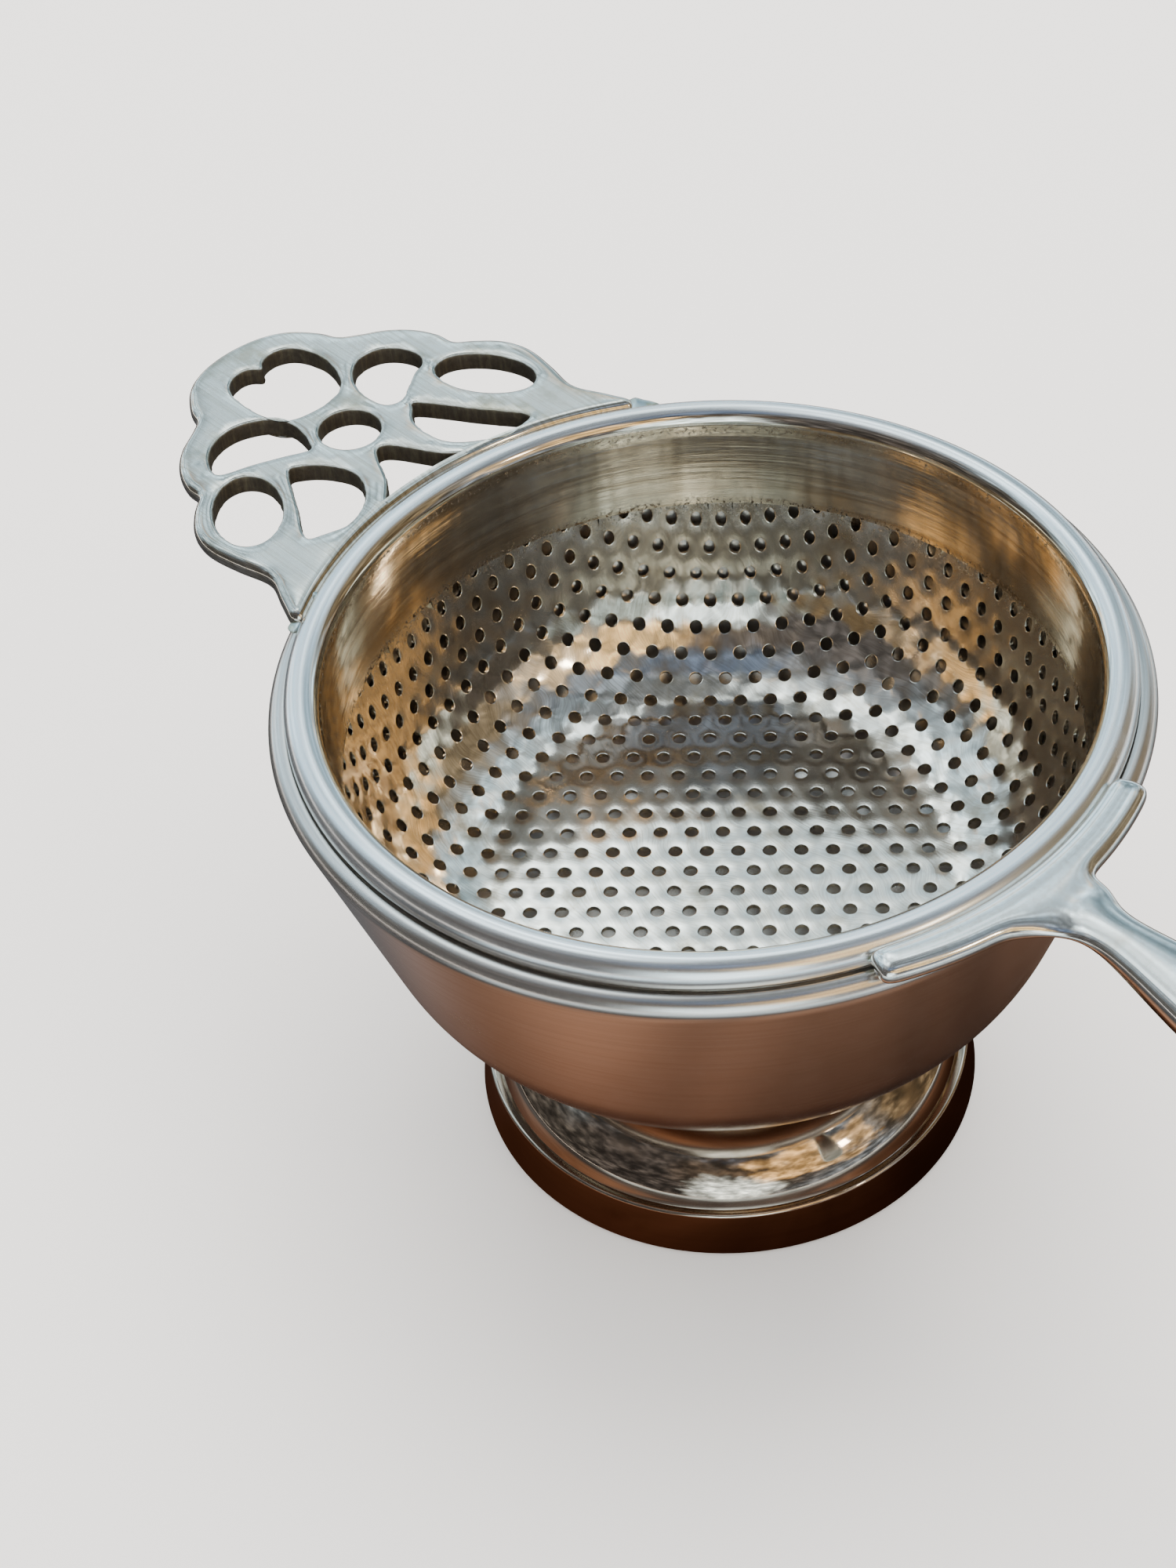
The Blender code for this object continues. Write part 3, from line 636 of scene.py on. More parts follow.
@dataclass
class PiercedBowl:
    """Pressed bowl of perforated sheet. Its holes keep the lattice of the flat blank it was drawn from."""

    collar: Collar
    cad_wall: float = 0.6 * MM
    wall: float = 0.36 * MM
    corner: float = 10.0 * MM
    tilt: float = math.radians(13.0)
    lap: float = 2.4 * MM
    gap: float = 0.3 * MM
    pitch: float = 2.54 * MM
    hole: float = 0.56 * MM
    rolled_edge: float = 0.07 * MM
    dip: float = 0.02 * MM
    side_steps: int = 3
    kept_margin: float = 0.62           # holes end this share of a pitch inside the blank's edge
    lattice_reach: float = 1.3          # half the lattice, as a share of the blank's radius
    turn: float = math.radians(45.0)
    shift: Point2 = (-3.9 * MM, 2.5 * MM)
    samples: int = 400
    bend_steps: int = 80
    flat_steps: int = 60
    edge_angle: float = math.radians(50.0)
    # painted shade on the sheet under the collar and just below its edge
    seam_shade: float = 0.85
    seam_shade_fade: float = 1.3 * MM

    def section(self) -> list[Point2]:
        """Inner face of the bowl from its middle out and up, in short even steps."""
        flat_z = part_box("perforated_bowl")[0].z + self.cad_wall
        foot_z = self.collar.foot_z
        lap_radius = self.collar.foot_radius + self.collar.wall + self.gap
        corner_z = flat_z + self.corner * (1 - math.sin(self.tilt))
        corner_radius = lap_radius - (foot_z - corner_z) * math.tan(self.tilt)
        centre = (corner_radius - self.corner * math.cos(self.tilt), flat_z + self.corner)
        top = (lap_radius + self.lap * math.tan(self.tilt), foot_z + self.lap)
        bend = arc(centre, self.corner, -90, -math.degrees(self.tilt), self.bend_steps)
        flat = [(centre[0] * i / self.flat_steps, flat_z) for i in range(self.flat_steps)]
        return flat + bend + straight(bend[-1], top, self.flat_steps)[1:]

    def drawing(self) -> tuple[list[Point2], float]:
        """Follow the blank into the bowl: the sheet keeps its area, so its rings rise and shrink.

        Returns:
            Points of the section at even steps of the blank's radius, and the blank's radius.
        """
        section = self.section()
        squares = [0.0]
        for a, b in zip(section, section[1:]):
            squares.append(squares[-1] + (a[0] + b[0]) * (Vector(b) - Vector(a)).length)
        blank = math.sqrt(squares[-1])
        points, k = [], 0
        for i in range(self.samples + 1):
            target = (blank * i / self.samples) ** 2
            while k < len(squares) - 2 and squares[k + 1] < target:
                k += 1
            span = squares[k + 1] - squares[k]
            share = (target - squares[k]) / span
            points.append(tuple(Vector(section[k]).lerp(Vector(section[k + 1]), share)))
        return points, blank

    def cell(self) -> bpy.types.Object:
        """One six-sided tile of the sheet with its hole, open at its outer edge."""
        draft = Draft()
        corners = [Vector((math.cos(a), math.sin(a))) * self.pitch / math.sqrt(3)
                   for a in (math.radians(30 + 60 * k) for k in range(6))]
        rim = [corners[k].lerp(corners[(k + 1) % 6], s / self.side_steps)
               for k in range(6) for s in range(self.side_steps)]
        count = len(rim)
        turns = [math.radians(30) + 2 * math.pi * i / count for i in range(count)]
        rings = [(self.hole + self.rolled_edge, 0.0), (self.hole + 0.3 * self.rolled_edge, -0.25 * self.dip),
                 (self.hole, -self.dip), (self.hole, -self.wall)]
        rows = [[draft.point((*p, 0.0)) for p in rim]]
        for radius, z in rings:
            rows.append([draft.point((radius * math.cos(a), radius * math.sin(a), z)) for a in turns])
        rows.append([draft.point((*p, -self.wall)) for p in rim])
        for here, there in zip(rows, rows[1:]):
            draft.strip(here, there)
        tile = draft.object("sheet_tile")
        if tile.data.polygons[0].normal.z < 0:
            tile.data.flip_normals()
        return tile

    def profile(self, points: Sequence[Point2]) -> bpy.types.Object:
        """Guide whose vertices lie on the section, each with the sheet's direction upwards."""
        draft = Draft()
        for (r, z), side in zip(points, normals_of(points)):
            draft.point((r, 0.0, z), side_r=side.x, side_z=side.y)
        mesh = bpy.data.meshes.new("bowl_section")
        mesh.from_pydata(draft.points, [(i, i + 1) for i in range(len(points) - 1)], [])
        for mark, values in draft.marks.items():
            layer = mesh.attributes.new(mark, "FLOAT", "POINT")
            layer.data.foreach_set("value", list(values.values()))
        guide = bpy.data.objects.new("bowl_section", mesh)
        bpy.context.collection.objects.link(guide)
        return guide

    def tree(self) -> bpy.types.NodeTree:
        """Geometry Nodes that lay out the tiles and draw the sheet into the bowl."""
        tree = bpy.data.node_groups.new("drawn_pierced_sheet", "GeometryNodeTree")
        for name, kind in (("Tile", "Geometry"), ("Pitch", "Float"), ("Blank Radius", "Float"),
                           ("Turn", "Float"), ("Middle", "Vector"), ("Count", "Int"), ("Wall", "Float"),
                           ("Section", "Object"), ("Samples", "Int"), ("Margin", "Float"),
                           ("Metal", "Material")):
            tree.interface.new_socket(name, in_out="INPUT", socket_type=f"NodeSocket{kind}")
        tree.interface.new_socket("Bowl", in_out="OUTPUT", socket_type="NodeSocketGeometry")
        graph = Graph(tree)
        source = graph.add("NodeGroupInput").socket.node
        given = {socket.name: Wire(graph, socket) for socket in source.outputs if socket.name}

        pitch, count = given["Pitch"], given["Count"]
        row_gap = pitch * (math.sqrt(3) / 2)
        depth = (count - 1.0) * row_gap
        grid = graph.add("GeometryNodeMeshGrid", {}, {"Size X": (count - 1.0) * pitch, "Size Y": depth,
                                                     "Vertices X": count, "Vertices Y": count}, "Mesh")
        x, y, _ = self._position(graph)
        odd = ((y + depth * 0.5) / row_gap).math("ROUND").math("MODULO", 2.0)
        lattice = self._moved(graph, grid, self._vector(graph, x + odd * pitch * 0.5, y, 0.0))
        here = graph.add("GeometryNodeInputPosition")
        from_middle = graph.add("ShaderNodeVectorMath", {"operation": "DISTANCE"},
                                {0: here, 1: given["Middle"]}, "Value")
        outside = graph.add("FunctionNodeCompare", {"data_type": "FLOAT", "operation": "GREATER_THAN"},
                            {0: from_middle, 1: given["Blank Radius"] - given["Margin"]})
        kept = graph.add("GeometryNodeDeleteGeometry", {"domain": "POINT"},
                         {"Geometry": lattice, "Selection": outside})
        tiles = graph.add("GeometryNodeInstanceOnPoints", {}, {"Points": kept, "Instance": given["Tile"]})
        sheet = graph.add("GeometryNodeRealizeInstances", {}, {"Geometry": tiles})
        sheet = graph.add("GeometryNodeMergeByDistance", {}, {"Geometry": sheet, "Distance": MERGE})

        # turn the lattice about the blank's middle, and stretch its outermost edge to the blank's round edge
        centred = graph.add("ShaderNodeVectorMath", {"operation": "SUBTRACT"},
                            {0: graph.add("GeometryNodeInputPosition"), 1: given["Middle"]})
        turned_sheet = graph.add("ShaderNodeVectorRotate", {"rotation_type": "Z_AXIS"},
                                 {"Vector": centred, "Angle": given["Turn"]})
        sheet = self._moved(graph, sheet, turned_sheet)
        faces_beside = graph.add("GeometryNodeInputMeshEdgeNeighbors")
        free_edge = graph.add("FunctionNodeCompare", {"data_type": "INT", "operation": "EQUAL"},
                              {2: faces_beside, 3: 1})
        x, y, z = self._position(graph)
        radius = self._length(x, y)
        reach = given["Blank Radius"] / radius
        stretched = self._vector(graph, x * reach, y * reach, z)
        sheet = self._moved(graph, sheet, stretched, {"Selection": free_edge})
        x, y, z = self._position(graph)
        upper = graph.add("FunctionNodeCompare", {"data_type": "FLOAT", "operation": "GREATER_THAN"},
                          {0: z, 1: given["Wall"] * -0.5})
        upper_edge = graph.add("FunctionNodeBooleanMath", {"operation": "AND"}, {0: free_edge, 1: upper})
        sheet = graph.add("GeometryNodeExtrudeMesh", {"mode": "EDGES"},
                          {"Mesh": sheet, "Selection": upper_edge, "Offset": (0.0, 0.0, -1.0),
                           "Offset Scale": given["Wall"]}, "Mesh")
        sheet = graph.add("GeometryNodeMergeByDistance", {}, {"Geometry": sheet, "Distance": MERGE})

        # draw the flat sheet into the bowl
        x, y, z = self._position(graph)
        radius = self._length(x, y)
        step = radius / given["Blank Radius"] * given["Samples"]
        step = step.math("MINIMUM", given["Samples"] - SAMPLE_MARGIN)
        below = step.math("FLOOR")
        share = step - below
        guide = graph.add("GeometryNodeObjectInfo", {}, {"Object": given["Section"]}, "Geometry")
        px, _, pz = self._position(graph)
        side = [graph.add("GeometryNodeInputNamedAttribute", {"data_type": "FLOAT"}, {"Name": name},
                          "Attribute") for name in ("side_r", "side_z")]
        drawn = []
        for value in (px, pz, *side):
            ends = [graph.add("GeometryNodeSampleIndex", {"data_type": "FLOAT", "domain": "POINT"},
                              {"Geometry": guide, "Value": value, "Index": below + extra})
                    for extra in (0.0, 1.0)]
            drawn.append(ends[0] + (ends[1] - ends[0]) * share)
        ring, height, side_r, side_z = drawn
        ring = (ring + side_r * z) / radius.math("MAXIMUM", TINY)
        bowl = graph.add("GeometryNodeStoreNamedAttribute", {"data_type": "FLOAT", "domain": "POINT"},
                         {"Geometry": sheet, "Name": "along", "Value": radius / MM})
        bowl = self._moved(graph, bowl, self._vector(graph, x * ring, y * ring, height + side_z * z))
        bowl = graph.add("GeometryNodeSetMaterial", {}, {"Geometry": bowl, "Material": given["Metal"]})
        tree.links.new(bowl.socket, tree.nodes.new("NodeGroupOutput").inputs[0])
        return tree

    @staticmethod
    def _position(graph: Graph) -> tuple[Wire, Wire, Wire]:
        """The three parts of the position field."""
        place = graph.add("GeometryNodeInputPosition")
        parts = graph.add("ShaderNodeSeparateXYZ", {}, {0: place}).socket.node
        return tuple(Wire(graph, socket) for socket in parts.outputs)

    @staticmethod
    def _vector(graph: Graph, x: Wire | float, y: Wire | float, z: Wire | float) -> Wire:
        """A vector from its parts."""
        return graph.add("ShaderNodeCombineXYZ", {}, {0: x, 1: y, 2: z})

    @staticmethod
    def _moved(graph: Graph, geometry: Wire, position: Wire, limits: dict[str, Wire] | None = None) -> Wire:
        """The geometry with its points, or a selection of them, put elsewhere."""
        return graph.add("GeometryNodeSetPosition", {},
                         {"Geometry": geometry, "Position": position, **(limits or {})})

    @staticmethod
    def _length(x: Wire, y: Wire) -> Wire:
        """Length of a plane vector."""
        return (x * x + y * y).math("SQRT")

    def build(self) -> None:
        """Make the bowl."""
        points, blank = self.drawing()
        guide = self.profile(points)
        tile = self.cell()
        tree = self.tree()
        modifier = tile.modifiers.new("drawing", "NODES")
        modifier.node_group = tree
        back = Matrix.Rotation(-self.turn, 2) @ Vector(self.shift)
        tiles = self.lattice_reach * blank / self.pitch
        values = {"Pitch": self.pitch, "Blank Radius": blank, "Turn": self.turn,
                  "Middle": (-back.x, -back.y, 0.0), "Count": 2 * math.ceil(tiles) + 3,
                  "Wall": self.wall, "Section": guide, "Samples": self.samples,
                  "Margin": self.kept_margin * self.pitch, "Metal": SHEET_PLATE.material()}
        for item in tree.interface.items_tree:
            if item.name in values:
                modifier[item.identifier] = values[item.name]
        graph = bpy.context.evaluated_depsgraph_get()
        mesh = bpy.data.meshes.new_from_object(tile.evaluated_get(graph))
        for spent in (tile, guide):
            bpy.data.objects.remove(spent, do_unlink=True)
        mesh.shade_smooth()
        mesh.set_sharp_from_angle(angle=self.edge_angle)
        self._age(mesh)
        obj = bpy.data.objects.new("pierced_bowl", mesh)
        bpy.context.collection.objects.link(obj)
        settle(obj, SHEET_PLATE, Body.STRAINER, Slot.PRESSED, "perforated_bowl")

    def _age(self, mesh: bpy.types.Mesh) -> None:
        """Painted shade along the seam under the collar, fading below the collar's edge."""
        dirt_and_shade = mesh.attributes.new("dirt_and_shade", "FLOAT", "POINT")
        for vertex, darkening in zip(mesh.vertices, dirt_and_shade.data):
            height = vertex.co.z - self.collar.foot_z
            darkening.value = min(math.exp(height / self.seam_shade_fade), 1.0) * self.seam_shade


@dataclass
class SolderBead:
    """Uneven lump of solder along a stretch of a ring, tapered at both ends and half sunk in its corner."""

    name: str
    nodes: tuple[str, ...]
    body: Body
    radius: float
    height: float
    start: float
    end: float
    width: float
    rise: float
    lumps: float = 0.35
    steps: int = 60
    sides: int = 16
    seed: float = 0.0
    least_size: float = 0.05
    lump_along: float = 0.9         # lumps per millimetre along the bead
    lump_around: float = 0.6

    def build(self) -> None:
        """Make the bead."""
        draft = Draft()
        whole = abs(self.end - self.start) >= 359.0
        rows = []
        for i in range(self.steps + (0 if whole else 1)):
            share = i / self.steps
            angle = math.radians(self.start + (self.end - self.start) * share)
            out = Vector((math.cos(angle), math.sin(angle), 0.0))
            swell = 1.0 if whole else max(math.sin(math.pi * share), 0.0) ** 0.5
            size = max(swell, self.least_size)
            row = []
            for k in range(self.sides):
                turn = 2 * math.pi * k / self.sides
                around = Vector((math.cos(turn), math.sin(turn), self.seed)) * self.lump_around
                probe = out * (self.radius / MM * self.lump_along) + around
                bulge = size * (1.0 + self.lumps * noise.noise(probe) * 2)
                row.append(draft.point(out * (self.radius + math.cos(turn) * self.width * bulge)
                                       + Vector((0, 0, self.height + math.sin(turn) * self.rise * bulge))))
            rows.append(row)
        for here, there in zip(rows, rows[1:] + (rows[:1] if whole else [])):
            draft.strip(here, there)
        if not whole:
            draft.faces += [tuple(rows[0]), tuple(rows[-1])]
        settle(draft.object(self.name), SOLDER_PLATE, self.body, Slot.SOLDER, *self.nodes)


# plan of the ear: shares of the rim's radius, outward along x
EAR_SIDE = ((0.845, 0.575), (0.92, 0.545), (1.0, 0.515), (1.1, 0.535), (1.2, 0.548), (1.28, 0.527),
            (1.345, 0.475), (1.38, 0.435), (1.43, 0.432), (1.5, 0.403), (1.56, 0.35), (1.60, 0.285),
            (1.632, 0.243), (1.68, 0.225), (1.75, 0.172), (1.79, 0.10))
EAR_END = (1.805, 0.0)
EAR_BIG = ((1.422, -0.02), (1.43, 0.06), (1.46, 0.10), (1.53, 0.120), (1.62, 0.118), (1.67, 0.097),
           (1.695, 0.055), (1.688, 0.015), (1.662, -0.008), (1.69, -0.03), (1.70, -0.075), (1.675, -0.122),
           (1.61, -0.147), (1.54, -0.143), (1.47, -0.115), (1.433, -0.07))
EAR_PETALS = (((1.305, 0.12), (1.335, 0.19), (1.37, 0.27), (1.40, 0.35), (1.45, 0.34), (1.50, 0.295),
               (1.523, 0.23), (1.512, 0.17), (1.475, 0.115), (1.42, 0.092), (1.355, 0.10)),
              ((1.29, -0.18), (1.297, -0.13), (1.35, -0.117), (1.40, -0.122), (1.455, -0.147), (1.50, -0.20),
               (1.50, -0.262), (1.465, -0.305), (1.41, -0.325), (1.367, -0.312), (1.345, -0.26)))
EAR_MOONS = (((1.03, 0.36), (1.15, 0.295), (1.27, 0.225), (1.272, 0.197), (1.225, 0.147), (1.15, 0.115),
              (1.08, 0.135), (1.025, 0.19), (1.0, 0.27)),
             ((0.98, -0.345), (1.11, -0.268), (1.247, -0.185), (1.235, -0.165), (1.193, -0.13),
              (1.13, -0.12), (1.06, -0.135), (1.0, -0.20), (0.97, -0.27)))
EAR_OVALS = ((1.23, 0.392, 0.138, 0.088, -35.0), (1.205, -0.39, 0.138, 0.079, 28.0))
EAR_CENTRE = (1.29, 0.005, 0.081, 0.081, 0.0)
EAR_SLOT = ((0.97, -0.125), (1.04, -0.085), (1.178, 0.0), (1.06, 0.075), (0.97, 0.13))


@dataclass
class Ear:
    """Flat pierced casting: scalloped outline, nine openings, rounded rim and rough inner walls."""

    collar: Collar
    turn: float = math.radians(181.2)
    top_drop: float = 0.25 * MM
    outer_round: float = 0.78 * MM
    hole_round: float = 0.30 * MM
    spacing: float = 0.32 * MM
    root_depth: float = 0.4 * MM
    clear_of_rim: float = 0.12 * MM
    ripple: float = 0.03 * MM
    ripple_size: float = 3.2 * MM
    wall_shake: float = 0.07 * MM
    wall_grain: float = 0.55 * MM
    wall_levels: tuple[float, ...] = (0.62, 0.48, 0.34)     # rows down an opening's wall, as shares of it
    wall_from: float = 0.35             # share of the rounding where the rough wall begins
    fill_step: float = 0.9 * MM
    fill_margin: float = 0.45 * MM
    edge_angle: float = 55.0

    def _scaled(self, shares: Sequence[Point2], steps: int = 5) -> list[Point2]:
        """Smooth closed curve through points that are given as shares of the rim's radius."""
        r = self.collar.rim_radius
        looped = [shares[-1], *shares, shares[0], shares[1]]
        curve = smooth_curve([(x * r, y * r) for x, y in looped], steps)
        return curve[steps:-2 * steps]

    def outline(self) -> list[Point2]:
        """Plan outline, counterclockwise."""
        r = self.collar.rim_radius
        side = [*EAR_SIDE, EAR_END, *((x, -y) for x, y in EAR_SIDE[::-1])]
        outer = smooth_curve([(x * r, y * r) for x, y in side], 6)[::-1]
        reach = math.degrees(math.atan2(EAR_SIDE[0][1], EAR_SIDE[0][0]))
        return [*outer, *arc((0.0, 0.0), r - self.root_depth, reach, -reach, 40)]

    def openings(self) -> list[list[Point2]]:
        """Plan outlines of the nine openings."""
        outlines = [self._scaled(shape) for shape in (EAR_BIG, *EAR_PETALS, *EAR_MOONS)]
        for x, y, long, short, angle in (EAR_CENTRE, *EAR_OVALS):
            turn = Matrix.Rotation(math.radians(angle), 2)
            ring = [Vector((x, y)) + turn @ Vector((long * u, short * v))
                    for u, v in arc((0, 0), 1.0, 0, 350, 35)]
            outlines.append([tuple(p * self.collar.rim_radius) for p in ring])
        return [*outlines, self._scaled(EAR_SLOT)]

    def build(self) -> None:
        """Make the ear."""
        low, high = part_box("pierced_ear")[0].z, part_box("pierced_ear")[1].z - self.top_drop
        draft = Draft()
        skins: dict[str, list[list[int]]] = {"top": [], "bottom": []}
        loops = [(soften(self.outline(), self.spacing, 2), self.outer_round, True)]
        loops += [(self._keep_off_rim(soften(loop, self.spacing, 1)), self.hole_round, False)
                  for loop in self.openings()]
        for loop, rounding, outer in loops:
            if (signed_area(loop) > 0) != outer:
                loop = loop[::-1]
            rows = self._edge_rows(draft, loop, rounding, outer, low, high)
            skins["top"].append(rows[0])
            skins["bottom"].append(rows[-1])
            for here, there in zip(rows, rows[1:]):
                draft.strip(here, there)
        for rings in skins.values():
            self._fill(draft, rings)
        turn = Matrix.Rotation(self.turn, 4, "Z")
        for point in draft.points:
            point.z += self.ripple * noise.noise(Vector((point.x, point.y, 0.0)) / self.ripple_size)
            point.xyz = turn @ point
        casting = draft.object("ear_casting", self.edge_angle)
        settle(casting, EAR_PLATE, Body.STRAINER, Slot.CAST, "pierced_ear")

    def _keep_off_rim(self, loop: list[Point2]) -> list[Point2]:
        """Hold an opening's points outside the rim."""
        least = self.collar.rim_radius + self.clear_of_rim
        return [tuple(Vector(p) * max(least / Vector(p).length, 1.0)) for p in loop]

    def _edge_rows(self, draft: Draft, loop: list[Point2], rounding: float, outer: bool, low: float,
                   high: float) -> list[list[int]]:
        """Rows of vertices over an edge, from the top face round to the underside."""
        steps = 6 if outer else 3
        quarter = [math.pi / 2 * i / steps for i in range(steps + 1)]
        levels = [(rounding * (1 - math.sin(a)), high - rounding * (1 - math.cos(a))) for a in quarter]
        if not outer:
            levels += [(0.0, low + (high - low) * share) for share in self.wall_levels]
        levels += [(rounding * (1 - math.sin(a)), low + rounding * (1 - math.cos(a))) for a in quarter[::-1]]
        rows = []
        for inset, z in levels:
            wall = 0.0 if outer or inset > self.wall_from * rounding else 1.0
            row = []
            for p, side in zip(loop, normals_of(loop, closed=True)):
                shake = wall * self.wall_shake * noise.noise(Vector((*p, z)) / self.wall_grain)
                place = Vector(p) + side * (inset + shake)
                row.append(draft.point((place.x, place.y, z), wall=wall, edge=1.0 - wall))
            rows.append(row)
        return rows

    def _fill(self, draft: Draft, rings: list[list[int]]) -> None:
        """Fill a flat face between its outer ring and the rings of its openings."""
        ids = [i for ring in rings for i in ring]
        flat = [draft.points[i].xy for i in ids]
        edges, loops = [], []
        for ring in rings:
            start, count = len(edges), len(ring)
            edges += [(start + k, start + (k + 1) % count) for k in range(count)]
            loops.append(flat[start:start + count])
        z = draft.points[ids[0]].z
        grid = self._inner_points(flat, loops)
        verts, _, made, origin, _, _ = delaunay_2d_cdt(flat + grid, edges, [], 0, TINY)
        numbers = []
        for i, place in enumerate(verts):
            known = [k for k in origin[i] if k < len(ids)]
            numbers.append(ids[known[0]] if known else draft.point((place.x, place.y, z), wall=0.0, edge=0.0))
        for face in made:
            middle = sum((verts[i] for i in face), Vector((0, 0))) / len(face)
            if self._on_metal(middle, loops):
                draft.faces.append(tuple(numbers[i] for i in face))

    def _inner_points(self, flat: list[Vector], loops: list[list[Vector]]) -> list[Vector]:
        """Evenly spread points on the metal, clear of every edge."""
        step = self.fill_step
        low = Vector((min(p.x for p in flat), min(p.y for p in flat)))
        high = Vector((max(p.x for p in flat), max(p.y for p in flat)))
        points = []
        for i in range(int((high.x - low.x) / step)):
            for k in range(int((high.y - low.y) / step)):
                p = Vector((low.x + (i + 0.5 * (k % 2)) * step, low.y + k * step))
                clear = min((p - q).length_squared for q in flat) >= self.fill_margin ** 2
                if clear and self._on_metal(p, loops):
                    points.append(p)
        return points

    def _on_metal(self, p: Vector, loops: list[list[Vector]]) -> bool:
        """Whether a point lies inside the outline, which comes first, and in none of the openings."""
        return self._inside(p, loops[0]) and not any(self._inside(p, loop) for loop in loops[1:])

    @staticmethod
    def _inside(p: Vector, loop: Sequence[Vector]) -> bool:
        """Whether a point lies inside a closed loop."""
        inside = False
        for a, b in zip(loop, [*loop[1:], loop[0]]):
            if (a[1] > p.y) != (b[1] > p.y) and p.x < a[0] + (p.y - a[1]) * (b[0] - a[0]) / (b[1] - a[1]):
                inside = not inside
        return inside


# reach beyond the rim, half width, and underside and top above the casting's underside, all in millimetres
STEM_ROOT = ((4.6, 3.1, 0.0, 1.45), (6.3, 2.0, -0.15, 1.5), (8.6, 1.95, -0.5, 1.6), (12.1, 2.6, -1.2, 1.6))
# the same further out, with the reach as a share of the handle's
STEM_BLADE = ((0.30, 3.5, -1.8, 1.5), (0.45, 4.6, -2.1, 1.3), (0.60, 5.6, -2.2, 1.1), (0.76, 6.2, -2.1, 1.0),
              (0.89, 5.6, -1.9, 0.9), (0.97, 3.9, -1.5, 0.7), (1.0, 2.0, -1.1, 0.4))
STEM_ACROSS = (-1.0, -0.55, 0.0, 0.55, 1.0)
UNDER_ROUND = 0.45 * MM     # how far the stem's edge lies above its underside and below its top
TOP_ROUND = 0.5 * MM


@dataclass
class Handle:
    """Cast handle: a fork whose two arms hug the rim, a narrow neck and a widening stem."""

    collar: Collar
    arm_ends: tuple[float, float] = (-24.5, 20.5)
    arm_width: float = 2.9 * MM
    growth: float = 0.5 * MM
    edge_drop: float = 0.35 * MM        # how far the arm's edges and its middle lie below the casting's top
    middle_drop: float = 0.1 * MM
    edge_lift: float = 0.1 * MM
    stations: int = 14
    overlap: float = 0.15 * MM
    levels: int = 3

    def build(self) -> None:
        """Make the handle as a smooth cage over a bar along the rim and a stem."""
        self.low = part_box("pierced_ear")[0].z
        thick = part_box("pierced_ear")[1].z - self.low
        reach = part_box("handle")[1].x - self.collar.rim_radius
        bar = [self._bar_row(i, thick) for i in range(self.stations + 1)]
        stem = self._stem_rows(reach)
        draft = Draft()
        layers = []
        for level in (1, 0):
            put = {key: draft.point(value[level]) for key, value in self._keyed(bar, stem).items()}
            layers.append(put)
        quads = [(("b", i, c), ("b", i + 1, c), ("b", i + 1, c + 1), ("b", i, c + 1))
                 for i in range(self.stations) for c in range(2)]
        root = self.stations // 2 - 2
        names = [[("b", root + j, 2) for j in range(5)]]
        names += [[("s", k, j) for j in range(5)] for k in range(len(stem))]
        for here, there in zip(names, names[1:]):
            quads += [(here[j], here[j + 1], there[j + 1], there[j]) for j in range(4)]
        for put in layers:
            draft.faces += [tuple(put[key] for key in quad) for quad in quads]
        edge = self._boundary(names, root)
        for a, b in zip(edge, edge[1:] + edge[:1]):
            draft.faces.append((layers[0][a], layers[0][b], layers[1][b], layers[1][a]))
        obj = draft.object("handle_casting", sharp=180.0)
        smooth = obj.modifiers.new("smooth", "SUBSURF")
        smooth.levels = smooth.render_levels = self.levels
        settle(obj, HANDLE_PLATE, Body.STRAINER, Slot.CAST, "handle")

    def _bar_row(self, i: int, thick: float) -> list[tuple[Vector, Vector]]:
        """Cage points across the bar at one station: inner edge, middle and outer edge, below and above."""
        share = i / self.stations
        angle = math.radians(self.arm_ends[0] + (self.arm_ends[1] - self.arm_ends[0]) * share)
        out = Vector((math.cos(angle), math.sin(angle), 0.0))
        width = self.arm_width + self.growth * math.sin(math.pi * share)
        inner = self.collar.rim_radius - self.overlap
        row = []
        for c, part in enumerate((0.0, 0.5, 1.0)):
            high = self.low + thick - (self.middle_drop if c == 1 else self.edge_drop)
            under = self.low + (0.0 if c == 1 else self.edge_lift)
            at = out * (inner + width * part)
            row.append((at + Vector((0, 0, under)), at + Vector((0, 0, high))))
        return row

    def _stem_rows(self, reach: float) -> list[list[tuple[Vector, Vector]]]:
        """Cage points across the stem at its stations, from the bar out to the tip."""
        shapes = [(along * MM, *rest) for along, *rest in STEM_ROOT]
        shapes += [(share * reach, *rest) for share, *rest in STEM_BLADE]
        rows = []
        for along, half, under, top in shapes:
            row = []
            for part in STEM_ACROSS:
                x, y = self.collar.rim_radius + along, part * half * MM
                row.append((Vector((x, y, self.low + under * MM + UNDER_ROUND * part ** 2)),
                            Vector((x, y, self.low + top * MM - TOP_ROUND * part ** 2))))
            rows.append(row)
        return rows

    @staticmethod
    def _keyed(bar: list, stem: list) -> dict[tuple[str, int, int], tuple[Vector, Vector]]:
        """Every cage point by its part, row and place across."""
        keyed = {("b", i, c): p for i, row in enumerate(bar) for c, p in enumerate(row)}
        keyed.update({("s", k, j): p for k, row in enumerate(stem) for j, p in enumerate(row)})
        return keyed

    def _boundary(self, names: list[list[tuple[str, int, int]]], root: int) -> list[tuple[str, int, int]]:
        """The cage's plan outline, as keys in order."""
        last = self.stations
        edge = [("b", i, 0) for i in range(last + 1)] + [("b", last, 1)]
        edge += [("b", i, 2) for i in range(last, root + 3, -1)]
        edge += [row[4] for row in names[1:]] + [names[-1][j] for j in (3, 2, 1)]
        edge += [row[0] for row in names[:0:-1]]
        edge += [("b", i, 2) for i in range(root, -1, -1)] + [("b", 0, 1)]
        return edge


